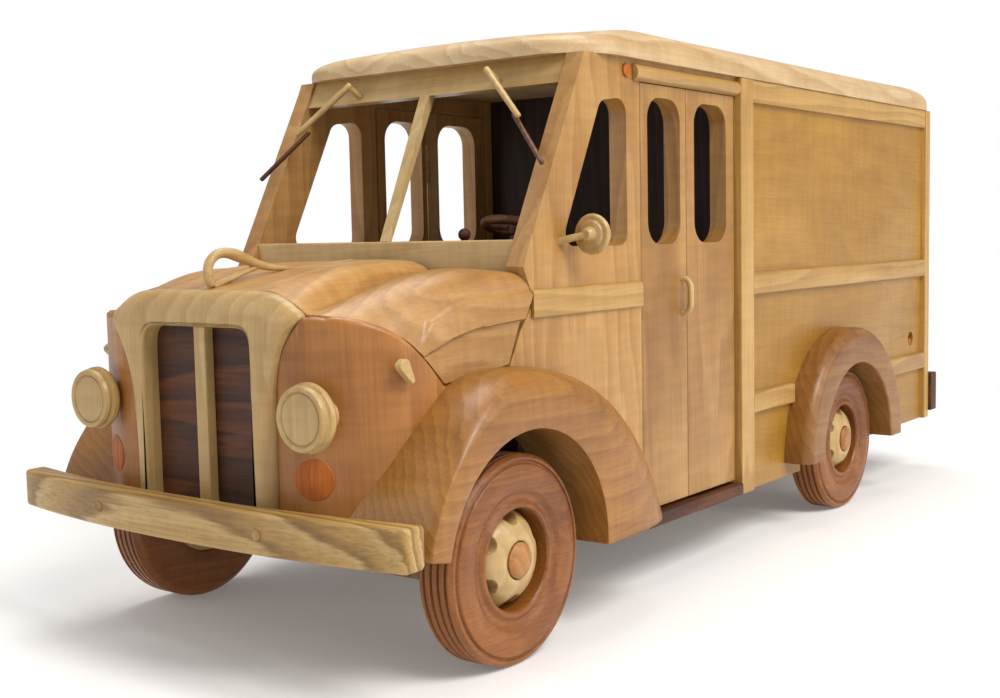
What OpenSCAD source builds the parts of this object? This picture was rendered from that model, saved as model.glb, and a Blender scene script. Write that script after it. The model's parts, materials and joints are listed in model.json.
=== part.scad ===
// Walk-in delivery truck, a wooden scale model at about 1:12.
// The nose points along -Y, +X is the driver's left, and the tyres stand on Z = 0.
// Stations along Y are counted from the front axle and moved to the middle of the truck by truck().

/* [Body] */
// Width of the cab and box over their side boards
body_w = 132; // [120:1:150]
// Thickness of the side boards and of the door leaves
side_t = 7; // [5:0.5:9]
// Front axle to the rear face of the box
box_rear = 380; // [370:1:410]
// Height of the joint between the side boards and the roof
roof_joint_z = 188.8; // [186:0.2:200]
// Height of the belt moulding's lower edge
belt_z = 102.4; // [98:0.2:106]
// Height of the belt moulding
belt_h = 9.4; // [7:0.2:11]
// How far mouldings and posts stand proud of the side boards
proud = 2.5; // [1.5:0.1:3.5]
// Underside of the side boards ahead of the rear wheels
skirt_z = 22.6; // [20:0.2:26]
// Underside of the side boards behind the rear wheels
tail_z = 27.5; // [24:0.2:30]

/* [Roof] */
// Thickness of the roof board along its middle
roof_h = 13.2; // [11:0.2:20]
// Overhang of the roof over the side boards
roof_over = 2.6; // [2:0.1:4]
// Radius of the rounded long edges of the roof
roof_edge_r = 10; // [7:0.5:10.5]
// Radius of the roof's front corners in plan
roof_corner_r = 22; // [14:1:30]

/* [Running gear] */
// Front axle to rear axle
wheelbase = 263; // [255:1:270]
// Diameter of the tyres
tyre_d = 64; // [62:0.5:66]
// Width of the tyres
tyre_w = 15.4; // [13:0.2:17]
// How far the front tyres stand out from the side boards
front_track_out = 12.2; // [11:0.2:14]
// How far the rear tyres stand out from the side boards
rear_track_out = 4.9; // [4:0.1:7]
// Diameter of the hub seat in the tyre
rim_d = 31; // [27:0.5:34]
// Diameter of the axle dowels
axle_d = 6.4; // [5:0.2:8]
// Running clearance on radius of hubs on their axles
axle_fit = 0.08; // [0.03:0.01:0.1]
// Diameter of the axle caps
cap_d = 11; // [9.5:0.5:12]
// Notches round the edge of each hub
hub_notches = 6; // [4:1:8]

/* [Chassis] */
// Thickness of the chassis board
chassis_t = 8; // [6:0.5:10]
// Underside of the chassis board above the axle's middle
chassis_rise = 8; // [7:0.5:10]
// Length of an axle block along the truck
block_l = 22; // [16:1:30]

/* [Nose] */
// Front face of the grille surround, ahead of the front axle
nose_front = 56; // [54:0.5:58]
// Half width of the grille opening
grille_half = 24.2; // [22:0.2:25]
// Top of the grille opening
grille_top = 103.8; // [100:0.2:105]
// Width of the grille's middle bar
bar_w = 5; // [3:0.2:7]
// Underside of the nose
nose_z = 40; // [38:0.5:41]
// Thickness of the nose cheeks
cheek_t = 7; // [5:0.5:9]
// Diameter of the headlight rims
lamp_d = 20; // [17:0.5:22]
// Middle of a headlight inwards of the side board's outer face
lamp_in = 18.3; // [17:0.1:20]
// Headlight height
lamp_z = 79.8; // [76:0.2:82]
// Diameter of the turn lamps
turn_d = 12.5; // [10:0.5:14]

/* [Hood] */
// Thickness of the hood shell
hood_t = 5; // [3.5:0.5:6]
// Gap round the hood
hood_gap = 0.45; // [0.3:0.05:0.8]
// Largest opening angle of the hood
hood_open = 50; // [30:5:55]
// Diameter of the hood's hinge pins
hood_pin_d = 3; // [2.4:0.2:3.2]

/* [Fenders] */
// How far the front fenders stand out from the side boards
front_fender_out = 18; // [16:0.5:18.5]
// How far the rear fenders stand out from the side boards
rear_fender_out = 12; // [10:0.5:14]
// Gap between a tyre and its wheel arch
arch_gap = 8; // [7:0.5:9.5]
// Depth of the front fenders over the arch where they meet the nose
front_fender_deep = 17; // [16:0.5:18]
// Depth of the rear fenders over the arch
rear_fender_deep = 15; // [12:0.5:17]

/* [Bumpers] */
// Length of the front bumper
bumper_l = 171; // [171:1:180]
// Height of the front bumper
bumper_h = 12.2; // [10:0.2:14]
// Thickness of the front bumper
bumper_t = 8; // [6:0.5:9]
// Sweep of the bumper's ends
bumper_sweep = 7.7; // [4:0.1:10]
// Front face of the bumper ahead of the front axle
bumper_front = 67; // [65:0.5:70]
// Diameter of the bumper's dowels
dowel_d = 3.2; // [2.4:0.2:5]
// Distance between the bumper's dowels
dowel_span = 71.6; // [60:1:90]
// Thickness of the rear bumper
rear_bumper_t = 8; // [6:0.5:10]

/* [Doors] */
// Front edge of the door opening behind the front axle
door_y = 91; // [91:0.2:92]
// Width of the front leaf
leaf_w = 33.2; // [31:0.2:34]
// Rear edge of the door opening
door_end = 164; // [163:0.2:168]
// Underside of the door leaves
door_z = 28.8; // [28.4:0.2:30]
// Top of the door leaves
door_top = 181.2; // [178:0.2:181.4]
// Gap at the doors' edges
door_gap = 0.4; // [0.3:0.05:0.6]
// Depth of the door's pivot under its outer face
pivot_in = 1.8; // [1.6:0.1:2.2]
// Diameter of the door pivots
pivot_d = 1.8; // [1.6:0.1:2]
// Diameter of the pin between two leaves
leaf_pin_d = 1.2; // [1:0.1:1.4]

/* [Windows] */
// Lower edge of the side windows
window_z = 124.5; // [120:0.5:130]
// Upper edge of the side windows
window_top = 176.8; // [170:0.2:177.5]
// Corner radius of the side windows
window_r = 8; // [4:0.5:9]

/* [Cab fittings] */
// Diameter of the steering wheel
steering_d = 25; // [20:0.5:28]
// Diameter of the mirrors
mirror_d = 13.5; // [10:0.5:15]
// Diameter of the wiper pegs
wiper_peg_d = 2.4; // [2:0.1:3]

/* [Hidden] */

// Facets round a turned piece, and steps round a rounded corner
$fn = 48;
arc_steps = 7;

// ---- places worked out from the sizes above ----
half_w = body_w / 2;
inner_x = half_w - side_t;
front_track_x = half_w + front_track_out;
rear_track_x = half_w + rear_track_out;
arch_r = tyre_d / 2 + arch_gap;
rear_fender_r = arch_r + rear_fender_deep;
front_fender_x = half_w + front_fender_out;
rear_fender_x = half_w + rear_fender_out;
lamp_x = half_w - lamp_in;
axle_z = tyre_d / 2;
rear_end = box_rear + rear_bumper_t;
mid_y = (rear_end - bumper_front) / 2;
roof_z = roof_joint_z + roof_h;

chassis_z = axle_z + chassis_rise;
floor_z = chassis_z + chassis_t;
chassis_front = -38;
chassis_waist = inner_x - 6;
waist_run = tyre_d / 2 + 5;

cab_front_low = 12.9;
pillar_foot = [20.7, 119.1];
pillar_top_y = 55.1;
pillar_top_z = 185.3;
pillar_slope = (pillar_top_y - pillar_foot[0]) / (pillar_top_z - pillar_foot[1]);
header_low_z = 179;
cowl_low_z = 117.4;
cowl_top_z = 127.5;
cowl_y = 25.1;
cowl_t = 6;
firewall_y = 25.5;
firewall_t = 5;
bulkhead_t = 5;

post_w = 11;
post_end = door_end + post_w;
rear_post_w = 6;
rear_frame_t = 7;
sill_top = 52;
rear_header_z = 181.8;
rear_door_gap = 0.4;

root_front = arch_r + front_fender_deep;
root_tail = door_y - 0.4 - root_front;
tail_power = 1.75;
flat_face = 8;
fender_low = axle_z - 2.6;

hinge_y = 20.2;
hinge_z = 117.5;
hood_rear_y = 21.4;
lug_w = 6;
lug_x = 15;
ear_w = 5;
ear_r = 2.8;
ear_out = lug_x - lug_w / 2 - 0.4;

pivot_y = door_y + door_gap / 2 + pivot_in;
pivot_x = half_w - pivot_in;
leaf_seam = door_y + leaf_w;
knuckle_x = inner_x + 1.5;
knuckle_r = 1.3;
trail_gap = 0.7;

steering_foot = [28, 45, floor_z];
steering_top = [28, 68, 131.6];

windshield_lean = atan(pillar_slope);
wiper_pivot = [32.6, 51.5, 182.6];
mirror_root = [half_w - 3, 38.8, 125.9];
mirror_eye = [half_w + 8, 45, 128.7];
mirror_arm_d = 2.4;

// ---- small geometry helpers ----
function unit2(v) = v / norm(v);

// Points of one rounded corner: an arc of radius r tangent to both edges at b
function corner(a, b, c, r) =
    let (u = unit2(a - b), w = unit2(c - b), half = acos(max(-1, min(1, u * w))) / 2)
    let (mid = b + unit2(u + w) * r / sin(half), reach = r / tan(half))
    let (s = b + u * reach - mid, e = b + w * reach - mid)
    let (sa = atan2(s[1], s[0]), turn = atan2(s[0] * e[1] - s[1] * e[0], s * e))
    [for (i = [0 : arc_steps]) mid + r * [cos(sa + turn * i / arc_steps), sin(sa + turn * i / arc_steps)]];

// An outline of [a, b, radius] points with its corners rounded
function outline(p) =
    let (n = len(p))
    [for (i = [0 : n - 1])
        let (q = [p[(i + n - 1) % n][0], p[(i + n - 1) % n][1]], b = [p[i][0], p[i][1]])
        let (c = [p[(i + 1) % n][0], p[(i + 1) % n][1]])
        each (p[i][2] > 0 ? corner(q, b, c, p[i][2]) : [b])];

// Moves stations counted from the front axle to the truck's own frame
module truck() {
    translate([0, -mid_y, 0]) children();
}

// A board cut to a (Y, Z) outline and standing from x to x + t
module side_board(points, x, t) {
    translate([x, 0, 0]) rotate([90, 0, 90]) linear_extrude(t) polygon(points);
}

// A board cut to an (X, Z) outline, its rear face at y + t
module cross_board(points, y, t) {
    translate([0, y + t, 0]) rotate([90, 0, 0]) linear_extrude(t) polygon(points);
}

// A block between two corners
module block(low, high) {
    translate(low) cube(high - low);
}

// The same piece on both sides of the truck
module both_sides() {
    children();
    mirror([1, 0, 0]) children();
}

// The same piece on the left (+1) or mirrored to the right (-1)
module on_side(side) {
    mirror([side < 0 ? 1 : 0, 0, 0]) children();
}

// Triangles that close a folded ring of m points, joining each point to the one across the fold
function fold_cap(m) =
    [for (j = [0 : m / 2 - 2]) each [[j, j + 1, m - 1 - j], [j + 1, m - 2 - j, m - 1 - j]]];

// A closed solid through a list of rings with equal, even counts of points
module loft(rings) {
    n = len(rings);
    m = len(rings[0]);
    walls = [for (i = [0 : n - 2], j = [0 : m - 1])
        let (k = (j + 1) % m)
        each [[i * m + j, (i + 1) * m + j, i * m + k], [i * m + k, (i + 1) * m + j, (i + 1) * m + k]]];
    last = [for (t = fold_cap(m)) [t[0], t[2], t[1]] + (n - 1) * m * [1, 1, 1]];
    polyhedron([for (r = rings) each r], concat(walls, fold_cap(m), last), 8);
}

// A round rod between two points
module rod(a, b, d) {
    v = b - a;
    tilt = acos(v[2] / norm(v));
    turn = atan2(v[1], v[0]);
    translate(a) rotate([0, tilt, turn]) cylinder(d = d, h = norm(v));
}

// ---- running gear ----
function chassis_points() =
    let (front_stop = door_y - 1, rear_start = post_end, axle_a = wheelbase - waist_run)
    let (axle_b = wheelbase + waist_run, w = inner_x, n = chassis_waist)
    let (right = [[30, chassis_front], [w, -25], [w, front_stop], [n, front_stop],
        [n, rear_start], [w, rear_start], [w, axle_a], [n, axle_a], [n, axle_b], [w, axle_b],
        [w, box_rear - rear_frame_t]])
    concat(right, [for (i = [len(right) - 1 : -1 : 0]) [-right[i][0], right[i][1]]]);

module axle_block(y, half) {
    difference() {
        block([-half, y - block_l / 2, axle_z - chassis_rise], [half, y + block_l / 2, chassis_z]);
        translate([0, y, axle_z]) rotate([0, 90, 0]) cylinder(d = axle_d, h = 2 * half + 2, center = true);
    }
}

front_hub_in = front_track_x - tyre_w;
rear_hub_in = rear_track_x - tyre_w;
block_gap = 1;

module chassis() {
    color("#C9A064") truck() {
        translate([0, 0, chassis_z]) linear_extrude(chassis_t) polygon(chassis_points());
        axle_block(0, front_hub_in - block_gap);
        axle_block(wheelbase, rear_hub_in - block_gap);
    }
}

cap_out = 1.4;
cap_t = 4.2;
hub_recess = 1.2;

module axle(y, face_x) {
    end = face_x + cap_out - cap_t;
    translate([0, y, axle_z]) rotate([0, 90, 0]) cylinder(d = axle_d, h = 2 * end, center = true);
}

module axles() {
    color("#B98A55") truck() {
        axle(0, front_track_x);
        axle(wheelbase, rear_track_x);
    }
}

// Turned cap on the axle's end, slightly domed
module axle_cap(y, face_x) {
    x = face_x + cap_out - cap_t;
    translate([x, y, axle_z]) rotate([0, 90, 0]) rotate_extrude()
        polygon([[0, 0], [cap_d / 2, 0], [cap_d / 2, cap_t - 1.2], [cap_d / 2 - 0.8, cap_t - 0.5],
            [cap_d / 4, cap_t - 0.1], [0, cap_t]]);
}

module axle_caps() {
    color("#B5773F") truck() both_sides() {
        axle_cap(0, front_track_x);
        axle_cap(wheelbase, rear_track_x);
    }
}

// Tyre profile: radius against width, the outer face at tyre_w
function tyre_profile() =
    let (r = tyre_d / 2, s = rim_d / 2, w = tyre_w, g = 0.7)
    let (grooves = [for (i = [1 : 4]) let (x = w * (0.12 + 0.17 * i)) each [[r, x - g], [r - 0.9, x], [r, x + g]]])
    concat([[s, 0.8], [s + 3, 0], [r - 7, 0], [r - 2, 1.2], [r, 3.2]], grooves,
        [[r, w - 1.9], [r - 1.1, w - 0.7], [r - 2.4, w - 0.7], [r - 3, w - 0.2], [r - 7, w],
        [r - 11.5, w - 0.9], [r - 13, w - 1.2], [s + 1, w - 0.6], [s, w - 1.2]]);

module tyre(side, y, face_x) {
    color("#A8653A") truck() on_side(side)
        translate([face_x - tyre_w, y, axle_z]) rotate([0, 90, 0]) rotate_extrude($fn = 96)
            polygon(tyre_profile());
}

// Hub: turned disc that sits in the tyre, bored for the axle, notched round its domed edge
module hub(side, y, face_x) {
    seat_d = rim_d;
    back = 1;
    front = tyre_w - 0.4;
    color("#DDB87E") truck() on_side(side)
        translate([face_x - tyre_w, y, axle_z]) rotate([0, 90, 0]) difference() {
            rotate_extrude($fn = 96)
                polygon([[axle_d / 2 + axle_fit, back], [seat_d / 2, back], [seat_d / 2, front - 8],
                    [seat_d / 2 - 1.4, front - 5], [seat_d / 2 - 4, front - 1.6],
                    [cap_d / 2 + 1.6, front], [cap_d / 2 + 0.3, front], [cap_d / 2 + 0.3, front - 2.9],
                    [axle_d / 2 + axle_fit, front - 2.9]]);
            for (i = [0 : hub_notches - 1]) {
                rotate([0, 0, 360 / hub_notches * (i + 0.5)]) translate([seat_d / 2 - 0.6, 0, front - 7])
                    cylinder(d = 5, h = 12, $fn = 24);
            }
        }
}

// ---- nose ----
// Plan of the nose from the grille to the side boards, as (x, y) points
function nose_plan() =
    let (w = half_w)
    [[30, -54.6], [40, -53], [w - 18, -50], [w - 12, -46.6], [w - 6.4, -41], [w - 2.4, -34], [w, -26], [w, -8]];

// Front face of a cheek beside the grille
function cheek_y(x) = -54.6 + 0.16 * (x - 30);

// The seam between hood and cheeks from the middle outwards, as (x, y, z) points
function hood_front() =
    let (w = half_w, f = -(nose_front - 6) + hood_gap)
    [[0, f, 114.6], [12, f, 114.6], [22, f, 114.5], [29, f, 114.1], [36, f, 111.4], [42, f, 107.9],
     [w - 21, f + 1, 107.8], [w - 18, f + 3, 107.4], [w - 12, f + 7, 106.2], [w - 6.4, f + 12.5, 103.6],
     [w - 2.4, f + 18, 99.6], [w - 0.6, f + 23, 94.6], [w, f + 31, 86.4]];

// The rear edge of the hood, against the cowl, the pillar and the cab side
function hood_rear() =
    let (w = half_w, r = hood_rear_y)
    [[0, r, 121.6], [10, r, 121.3], [18, r, 120.2], [24, r, 118.4], [28.5, r, 116.2], [31, r, 114.2],
     [37, r, 114.2], [45, r, 114.4], [w - 12, r, 113.6], [w - 4, r + 1.5, 109.8],
     [w - 1.4, r + 3, 105.6], [w - 0.2, 18, 98], [w, 12.9, 89.2]];

// Swell of the hood between its two edges: a crown in the middle, a valley and a bulge on each side
function hood_swell(j, s) =
    let (rise = sin(180 * s), crown = [1.6, 1.6, 1.6, 1.8, 1.6, 0, 1.6, 2.8, 3.4, 3.2, 2, 0.8, 0])
    crown[j] * rise;

// One half ring of the hood at the share s of the way from front to rear
function hood_half(s, grow, drop) =
    let (f = hood_front(), r = hood_rear())
    [for (j = [0 : len(f) - 1])
        let (p = f[j] + (r[j] - f[j]) * s + [0, 0, hood_swell(j, s)])
        let (side = min(1, max(0, (p[0] - 40) / (half_w - 42))), lift = grow * (1 - 1.5 * pow(side, 6)))
        [p[0] * (1 - drop * side * side / half_w) + grow * side, p[1], p[2] + lift - drop * (1 - 0.75 * side * side)]];

function mirrored(points) = [for (i = [len(points) - 1 : -1 : 1]) [-points[i][0], points[i][1], points[i][2]]];

// A closed ring: the outer skin from right to left, then the inner skin back
function hood_ring(s, grow, thick) =
    let (outer = hood_half(s, grow, 0), inner = hood_half(s, grow, thick))
    let (skin = concat(mirrored(outer), outer), back = concat(mirrored(inner), inner))
    concat(skin, [for (i = [len(back) - 1 : -1 : 0]) back[i]]);

module hood_shell(grow, thick, front_more, rear_more) {
    steps = 10;
    loft([for (i = [0 : steps]) hood_ring(-front_more + (1 + front_more + rear_more) * i / steps, grow, thick)]);
}

// Space that the hood needs, taken out of the pieces round it
module hood_room() {
    hood_shell(1, 14, hood_gap / 70, 0);
}

// Outline of the grille surround's front, as (x, z) points
function surround_points() =
    [[-31.2, nose_z, 0], [31.2, nose_z, 0], [31.4, 62, 0], [33, 92.7, 12], [42.4, 108.2, 0], [29, 114.1, 9],
     [-29, 114.1, 9], [-42.4, 108.2, 0], [-33, 92.7, 12], [-31.4, 62, 0]];

module grille_surround() {
    back = -(nose_front - 6);
    color("#E0BE86") truck() difference() {
        intersection() {
            cross_board(outline(surround_points()), -nose_front, 6);
            side_board(outline([[back, nose_z - 1, 0], [back, 115, 0], [back - 1.4, 115, 3], [-nose_front + 0.8, 103, 6],
                [-nose_front, 92, 0], [-nose_front, nose_z - 1, 0]]), -50, 100);
        }
        cross_board(outline([[-grille_half, nose_z - 1, 0], [grille_half, nose_z - 1, 0],
            [grille_half, grille_top, 7], [-grille_half, grille_top, 7]]), -nose_front - 1, 8);
    }
}

panel_back = 3;
module grille_panel() {
    y = -(nose_front - 6);
    color("#4A2614") truck()
        cross_board([[-grille_half - 3, nose_z], [grille_half + 3, nose_z], [grille_half + 3, grille_top + 3],
            [-grille_half - 3, grille_top + 3]], y, panel_back);
}

module grille_bar() {
    y = -(nose_front - 6);
    color("#E0BE86") truck()
        block([-bar_w / 2, y - 3.6, nose_z], [bar_w / 2, y, grille_top]);
}

// Outer wall of a cheek in plan, with its inner wall cheek_t further in
module cheek_plan() {
    outer = nose_plan();
    inner = [[half_w - cheek_t, -8], [half_w - cheek_t, -26], [half_w - cheek_t - 3, -34],
        [half_w - cheek_t - 9, -41], [30, -46.5]];
    linear_extrude(120) polygon(concat(outer, inner));
}

module cheek() {
    difference() {
        intersection() {
            cheek_plan();
            cross_board(outline([[31.6, nose_z, 0], [half_w + 1, nose_z, 0], [half_w + 1, 109, 0], [42.8, 109, 0],
                [33.4, 92.7, 12], [31.8, 62, 0]]), -60, 60);
            side_board([[-60, nose_z], [-60, 110], [-44, 110], [-33, 100], [-8, 78], [-8, nose_z]], 20, 60);
        }
        hood_room();
        translate([inner_x - cheek_t, 0, axle_z]) rotate([0, 90, 0]) cylinder(r = arch_r, h = 40, $fn = 96);
        translate([lamp_x, 0, lamp_z]) rotate([90, 0, 0]) cylinder(d = lamp_stem_d, h = 60);
        translate([turn_x, 0, turn_z]) rotate([90, 0, 0]) cylinder(d = turn_d, h = 60);
    }
}

lamp_stem_d = 9;
turn_x = half_w - 21.3;
turn_z = 61.5;
lamp_face = nose_front + 3.8;
lamp_depth = 8.6;
turn_face = 53.4;

module nose_cheek_left() {
    color("#BE8049") truck() cheek();
}

module nose_cheek_right() {
    color("#BE8049") truck() on_side(-1) cheek();
}

// Turned headlight: a double ring, a flat lens and a stem that plugs into the cheek
module headlight() {
    r = lamp_d / 2;
    translate([lamp_x, -lamp_face, lamp_z]) rotate([-90, 0, 0]) rotate_extrude($fn = 64)
        polygon([[0, 0.4], [r - 2.2, 0.4], [r - 1.8, 0], [r - 0.8, 0.4], [r - 0.4, 1.6], [r - 0.9, 2.6],
            [r, 3.4], [r, 4.8], [r - 1, 5.8], [lamp_stem_d / 2, 5.8], [lamp_stem_d / 2, lamp_depth + 4], [0, lamp_depth + 4]]);
}

module headlights() {
    color("#D9B882") truck() both_sides() headlight();
}

module turn_lamps() {
    color("#B85418") truck() both_sides()
        translate([turn_x, -turn_face, turn_z]) rotate([-90, 0, 0]) cylinder(d = turn_d, h = 6);
}

// Small leaf inlaid on each cheek below the hood's seam
module cheek_leaves() {
    color("#E3C48F") truck() both_sides()
        translate([half_w - 1.2, -36, 92.6]) rotate([38, 0, 0]) rotate([90, 0, 90])
            linear_extrude(2.4) polygon(outline([[-2.4, 3.2, 1.4], [-1.2, -5, 0.6], [0.2, -5, 0.3], [2.4, 2.6, 1.8]]));
}

// ---- bumpers ----
bumper_mid_z = 47.5;
function bumper_bow(x) = bumper_sweep * pow(abs(x) / (bumper_l / 2), 2.2);
function bumper_rear(x) = -bumper_front + bumper_bow(x) + bumper_t;

module front_bumper() {
    steps = 16;
    h = bumper_l / 2;
    front = [for (i = [0 : steps]) let (x = -h + bumper_l * i / steps) [x, -bumper_front + bumper_bow(x)]];
    rear = [for (i = [steps : -1 : 0]) let (x = -h + bumper_l * i / steps) [x, bumper_rear(x)]];
    z = bumper_mid_z - bumper_h / 2;
    color("#C7A566") truck() difference() {
        translate([0, 0, z]) linear_extrude(bumper_h) polygon(concat(front, rear));
        both_sides() dowel_hole();
    }
}

module dowel_hole() {
    translate([dowel_span / 2, -nose_front, bumper_mid_z]) rotate([90, 0, 0]) cylinder(d = dowel_d, h = 20);
}

// Dowels that hold the bumper, with the blocks that carry it on the nose
module bumper_dowels() {
    y = -bumper_front + bumper_bow(dowel_span / 2);
    a = dowel_span / 2 - 3;
    b = dowel_span / 2 + 3;
    rear = bumper_rear(b) + 0.06;
    color("#B98A4E") truck() both_sides() {
        translate([dowel_span / 2, y - 0.4, bumper_mid_z]) rotate([-90, 0, 0]) cylinder(d = dowel_d, h = bumper_t + 1.4);
        translate([0, 0, bumper_mid_z - 4]) linear_extrude(8)
            polygon([[a, rear], [b, rear], [b, cheek_y(b)], [a, cheek_y(a)]]);
    }
}

module rear_bumper() {
    color("#6B3A1E") truck()
        block([-half_w - 4, box_rear, 31], [half_w + 4, box_rear + rear_bumper_t, 51]);
}

// ---- hood ----
module hood_lug(x) {
    translate([x - lug_w / 2, hinge_y, hinge_z]) rotate([0, 90, 0]) cylinder(r = ear_r + 0.2, h = lug_w);
    block([x - lug_w / 2, hinge_y - 9, hinge_z - ear_r], [x + lug_w / 2, hinge_y, hinge_z + 1.2]);
}

// Space round a firewall ear, taken out of the hood
module ear_room() {
    wide = ear_w + 0.8;
    translate([ear_out - ear_w - 0.4, hinge_y, hinge_z]) rotate([0, 90, 0]) cylinder(r = ear_r + 0.4, h = wide);
    block([ear_out - ear_w - 0.4, hinge_y - ear_r - 0.4, hinge_z - 12], [ear_out + 0.4, hinge_y + 9, hinge_z]);
}

module hood() {
    color("#CFA15F") truck() difference() {
        union() {
            hood_shell(0, hood_t, 0, 0);
            both_sides() hood_lug(lug_x);
        }
        both_sides() {
            ear_room();
            translate([inner_x - 0.5, 0, 0]) rotate([90, 0, 90]) linear_extrude(side_t + 2)
                offset(delta = hood_gap) polygon(outline(cab_side_points()));
        }
        both_sides() translate([lug_x - lug_w / 2 - 1, hinge_y, hinge_z]) rotate([0, 90, 0])
            cylinder(d = hood_pin_d + 0.12, h = lug_w + 2);
    }
}

function crown_z(y) = 114.8 + 7 * (y + nose_front - 6) / (nose_front - 6 + hood_rear_y);

// Carved loop on the hood's front with a spear running back along the crown
module hood_ornament() {
    spear_y = 14;
    color("#E8CFA0") truck() difference() {
        side_board(outline([[-50.2, 114.6, 1], [-49.6, 121, 5], [-44.5, 126.2, 4], [-36, 125.4, 5], [-27, 121.2, 6],
            [-20, crown_z(-20) + 2.6, 3], [spear_y, crown_z(spear_y) + 2.4, 0], [spear_y + 4, crown_z(spear_y + 4) + 0.4, 0],
            [spear_y, crown_z(spear_y), 0], [-46, crown_z(-46), 0]]), -1.8, 3.6);
        side_board(outline([[-46.6, 119.4, 1.2], [-43.6, 123.6, 2], [-37, 123.2, 2], [-31.5, 120.6, 1], [-40, 119.6, 1]]), -5, 10);
    }
}

// ---- fenders ----
function root_r(phi) = root_front + (phi < 90 ? root_tail * pow((90 - phi) / 91, tail_power) : 0);

// Section of the front fender at the angle phi: [x, radius] points from the arch to the root
function fender_section(phi) =
    let (base = phi > 100 ? half_w - 8 : half_w, wide = front_fender_x - base, face = arch_r + flat_face)
    let (high = root_r(phi) - face)
    concat([[base, arch_r], [front_fender_x - 1, arch_r], [front_fender_x, arch_r + 1]],
        [for (i = [0 : 10]) let (a = 90 - 9 * i)
            [base + wide * pow(sin(a), 0.8), face + high * pow(cos(a), 0.8)]]);

module front_fender() {
    from = asin((fender_low - axle_z) / arch_r) - 4;
    to = 168;
    steps = 34;
    difference() {
        loft([for (i = [0 : steps]) let (phi = from + (to - from) * i / steps)
            [for (p = fender_section(phi)) [p[0], p[1] * cos(phi), axle_z + p[1] * sin(phi)]]]);
        block([0, 0, -20], [120, 150, fender_low]);
        translate([0, 0, -1]) linear_extrude(120)
            polygon(concat(nose_plan(), [[half_w, 120], [30, 120]]));
        linear_extrude(bumper_mid_z + bumper_h / 2 + 0.4)
            polygon(concat([for (x = [50 : 5 : 95]) [x, bumper_rear(x) + 0.2]], [[95, -90], [50, -90]]));
    }
}

module front_fender_left() {
    color("#B8773F") truck() front_fender();
}

module front_fender_right() {
    color("#B8773F") truck() on_side(-1) front_fender();
}

rear_fender_z = axle_z - 3.5;
module rear_fender() {
    w = rear_fender_x - half_w;
    soft = 2.5;
    difference() {
        translate([half_w, wheelbase, rear_fender_z]) rotate([0, 90, 0]) rotate_extrude($fn = 96)
            polygon(outline([[arch_r - 1, 0, 0], [rear_fender_r, 0, 0], [rear_fender_r, w, soft], [arch_r - 1, w, 0.8]]));
        block([0, wheelbase - 100, -60], [120, wheelbase + 100, rear_fender_z]);
    }
}

module rear_fender_left() {
    color("#C08A50") truck() rear_fender();
}

module rear_fender_right() {
    color("#C08A50") truck() on_side(-1) rear_fender();
}

// ---- cab ----
function cab_side_points() =
    [[cab_front_low, 88.9, 0], [18.9, 99.5, 6], [26.2, 107.8, 5], [pillar_foot[0], pillar_foot[1], 0],
     [pillar_top_y, pillar_top_z, 3], [pillar_top_y + 1.5, roof_joint_z, 0], [door_end, roof_joint_z, 0],
     [door_end, door_top + door_gap, 0], [door_y, door_top + door_gap, 0], [door_y, door_z - door_gap, 0],
     [arch_r - 1, door_z - door_gap, 0], [0, axle_z, 0], [cab_front_low - 5, 76, 0]];

function quarter_window() =
    [[41.6, 125, 4.5], [66, 173.4, 5], [82.3, window_top - 1.2, 5.5], [82.3, window_z, 4.5]];

pivot_reach = 3;
module cab_side() {
    difference() {
        side_board(outline(cab_side_points()), inner_x, side_t);
        side_board(outline(quarter_window()), inner_x - 1, side_t + 2);
        translate([inner_x - 1, 0, axle_z]) rotate([0, 90, 0]) cylinder(r = arch_r, h = side_t + 2, $fn = 96);
        translate([pivot_x, pivot_y, door_top]) cylinder(d = pivot_d, h = door_gap + pivot_reach, $fn = 24);
        peg_holes();
        rod(mirror_root, mirror_eye, mirror_arm_d);
    }
}

marker_d = 4.6;
marker = [82.3, 184.7];
module peg_holes() {
    translate([half_w - 4, marker[0], marker[1]]) rotate([0, 90, 0]) cylinder(d = marker_d, h = 10);
}

module cab_side_left() {
    color("#CD9F63") truck() cab_side();
}

module cab_side_right() {
    color("#CD9F63") truck() on_side(-1) cab_side();
}

module cowl_bar() {
    color("#E0C08C") truck()
        side_board([[cowl_y - 0.6, cowl_low_z], [cowl_y, cowl_top_z], [cowl_y + cowl_t, cowl_top_z],
            [cowl_y + cowl_t, cowl_low_z]], -inner_x, 2 * inner_x);
}

module windshield_header() {
    front = pillar_foot[0] + pillar_slope * (header_low_z - pillar_foot[1]);
    shift = 1.2;
    color("#DDBB85") truck() difference() {
        side_board([[front + shift, header_low_z], [front + shift + 5, roof_joint_z], [front + 17, roof_joint_z],
            [front + 17, roof_joint_z - 6], [front + 9, header_low_z]], -inner_x, 2 * inner_x);
        both_sides() translate(wiper_pivot) rotate([90 - windshield_lean, 0, 0])
            cylinder(d = wiper_peg_d + 0.1, h = 16, center = true, $fn = 32);
    }
}

module windshield_post() {
    foot = [29.2, cowl_top_z];
    top = [52.5, header_low_z];
    t = 4;
    color("#E3C590") truck()
        side_board([foot, top, top + [t, 0], foot + [t * 0.5, 0]], -2, 4);
}

module firewall() {
    color("#A9794A") truck() difference() {
        union() {
            block([-inner_x, firewall_y, floor_z], [inner_x, firewall_y + firewall_t, cowl_low_z]);
            both_sides() {
                translate([ear_out - ear_w, hinge_y, hinge_z]) rotate([0, 90, 0]) cylinder(r = ear_r, h = ear_w);
                block([ear_out - ear_w, hinge_y - 1, hinge_z - 9], [ear_out, firewall_y, hinge_z - 0.8]);
            }
        }
        both_sides() translate([ear_out - ear_w - 1, hinge_y, hinge_z]) rotate([0, 90, 0])
            cylinder(d = hood_pin_d, h = ear_w + 2);
    }
}

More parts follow.
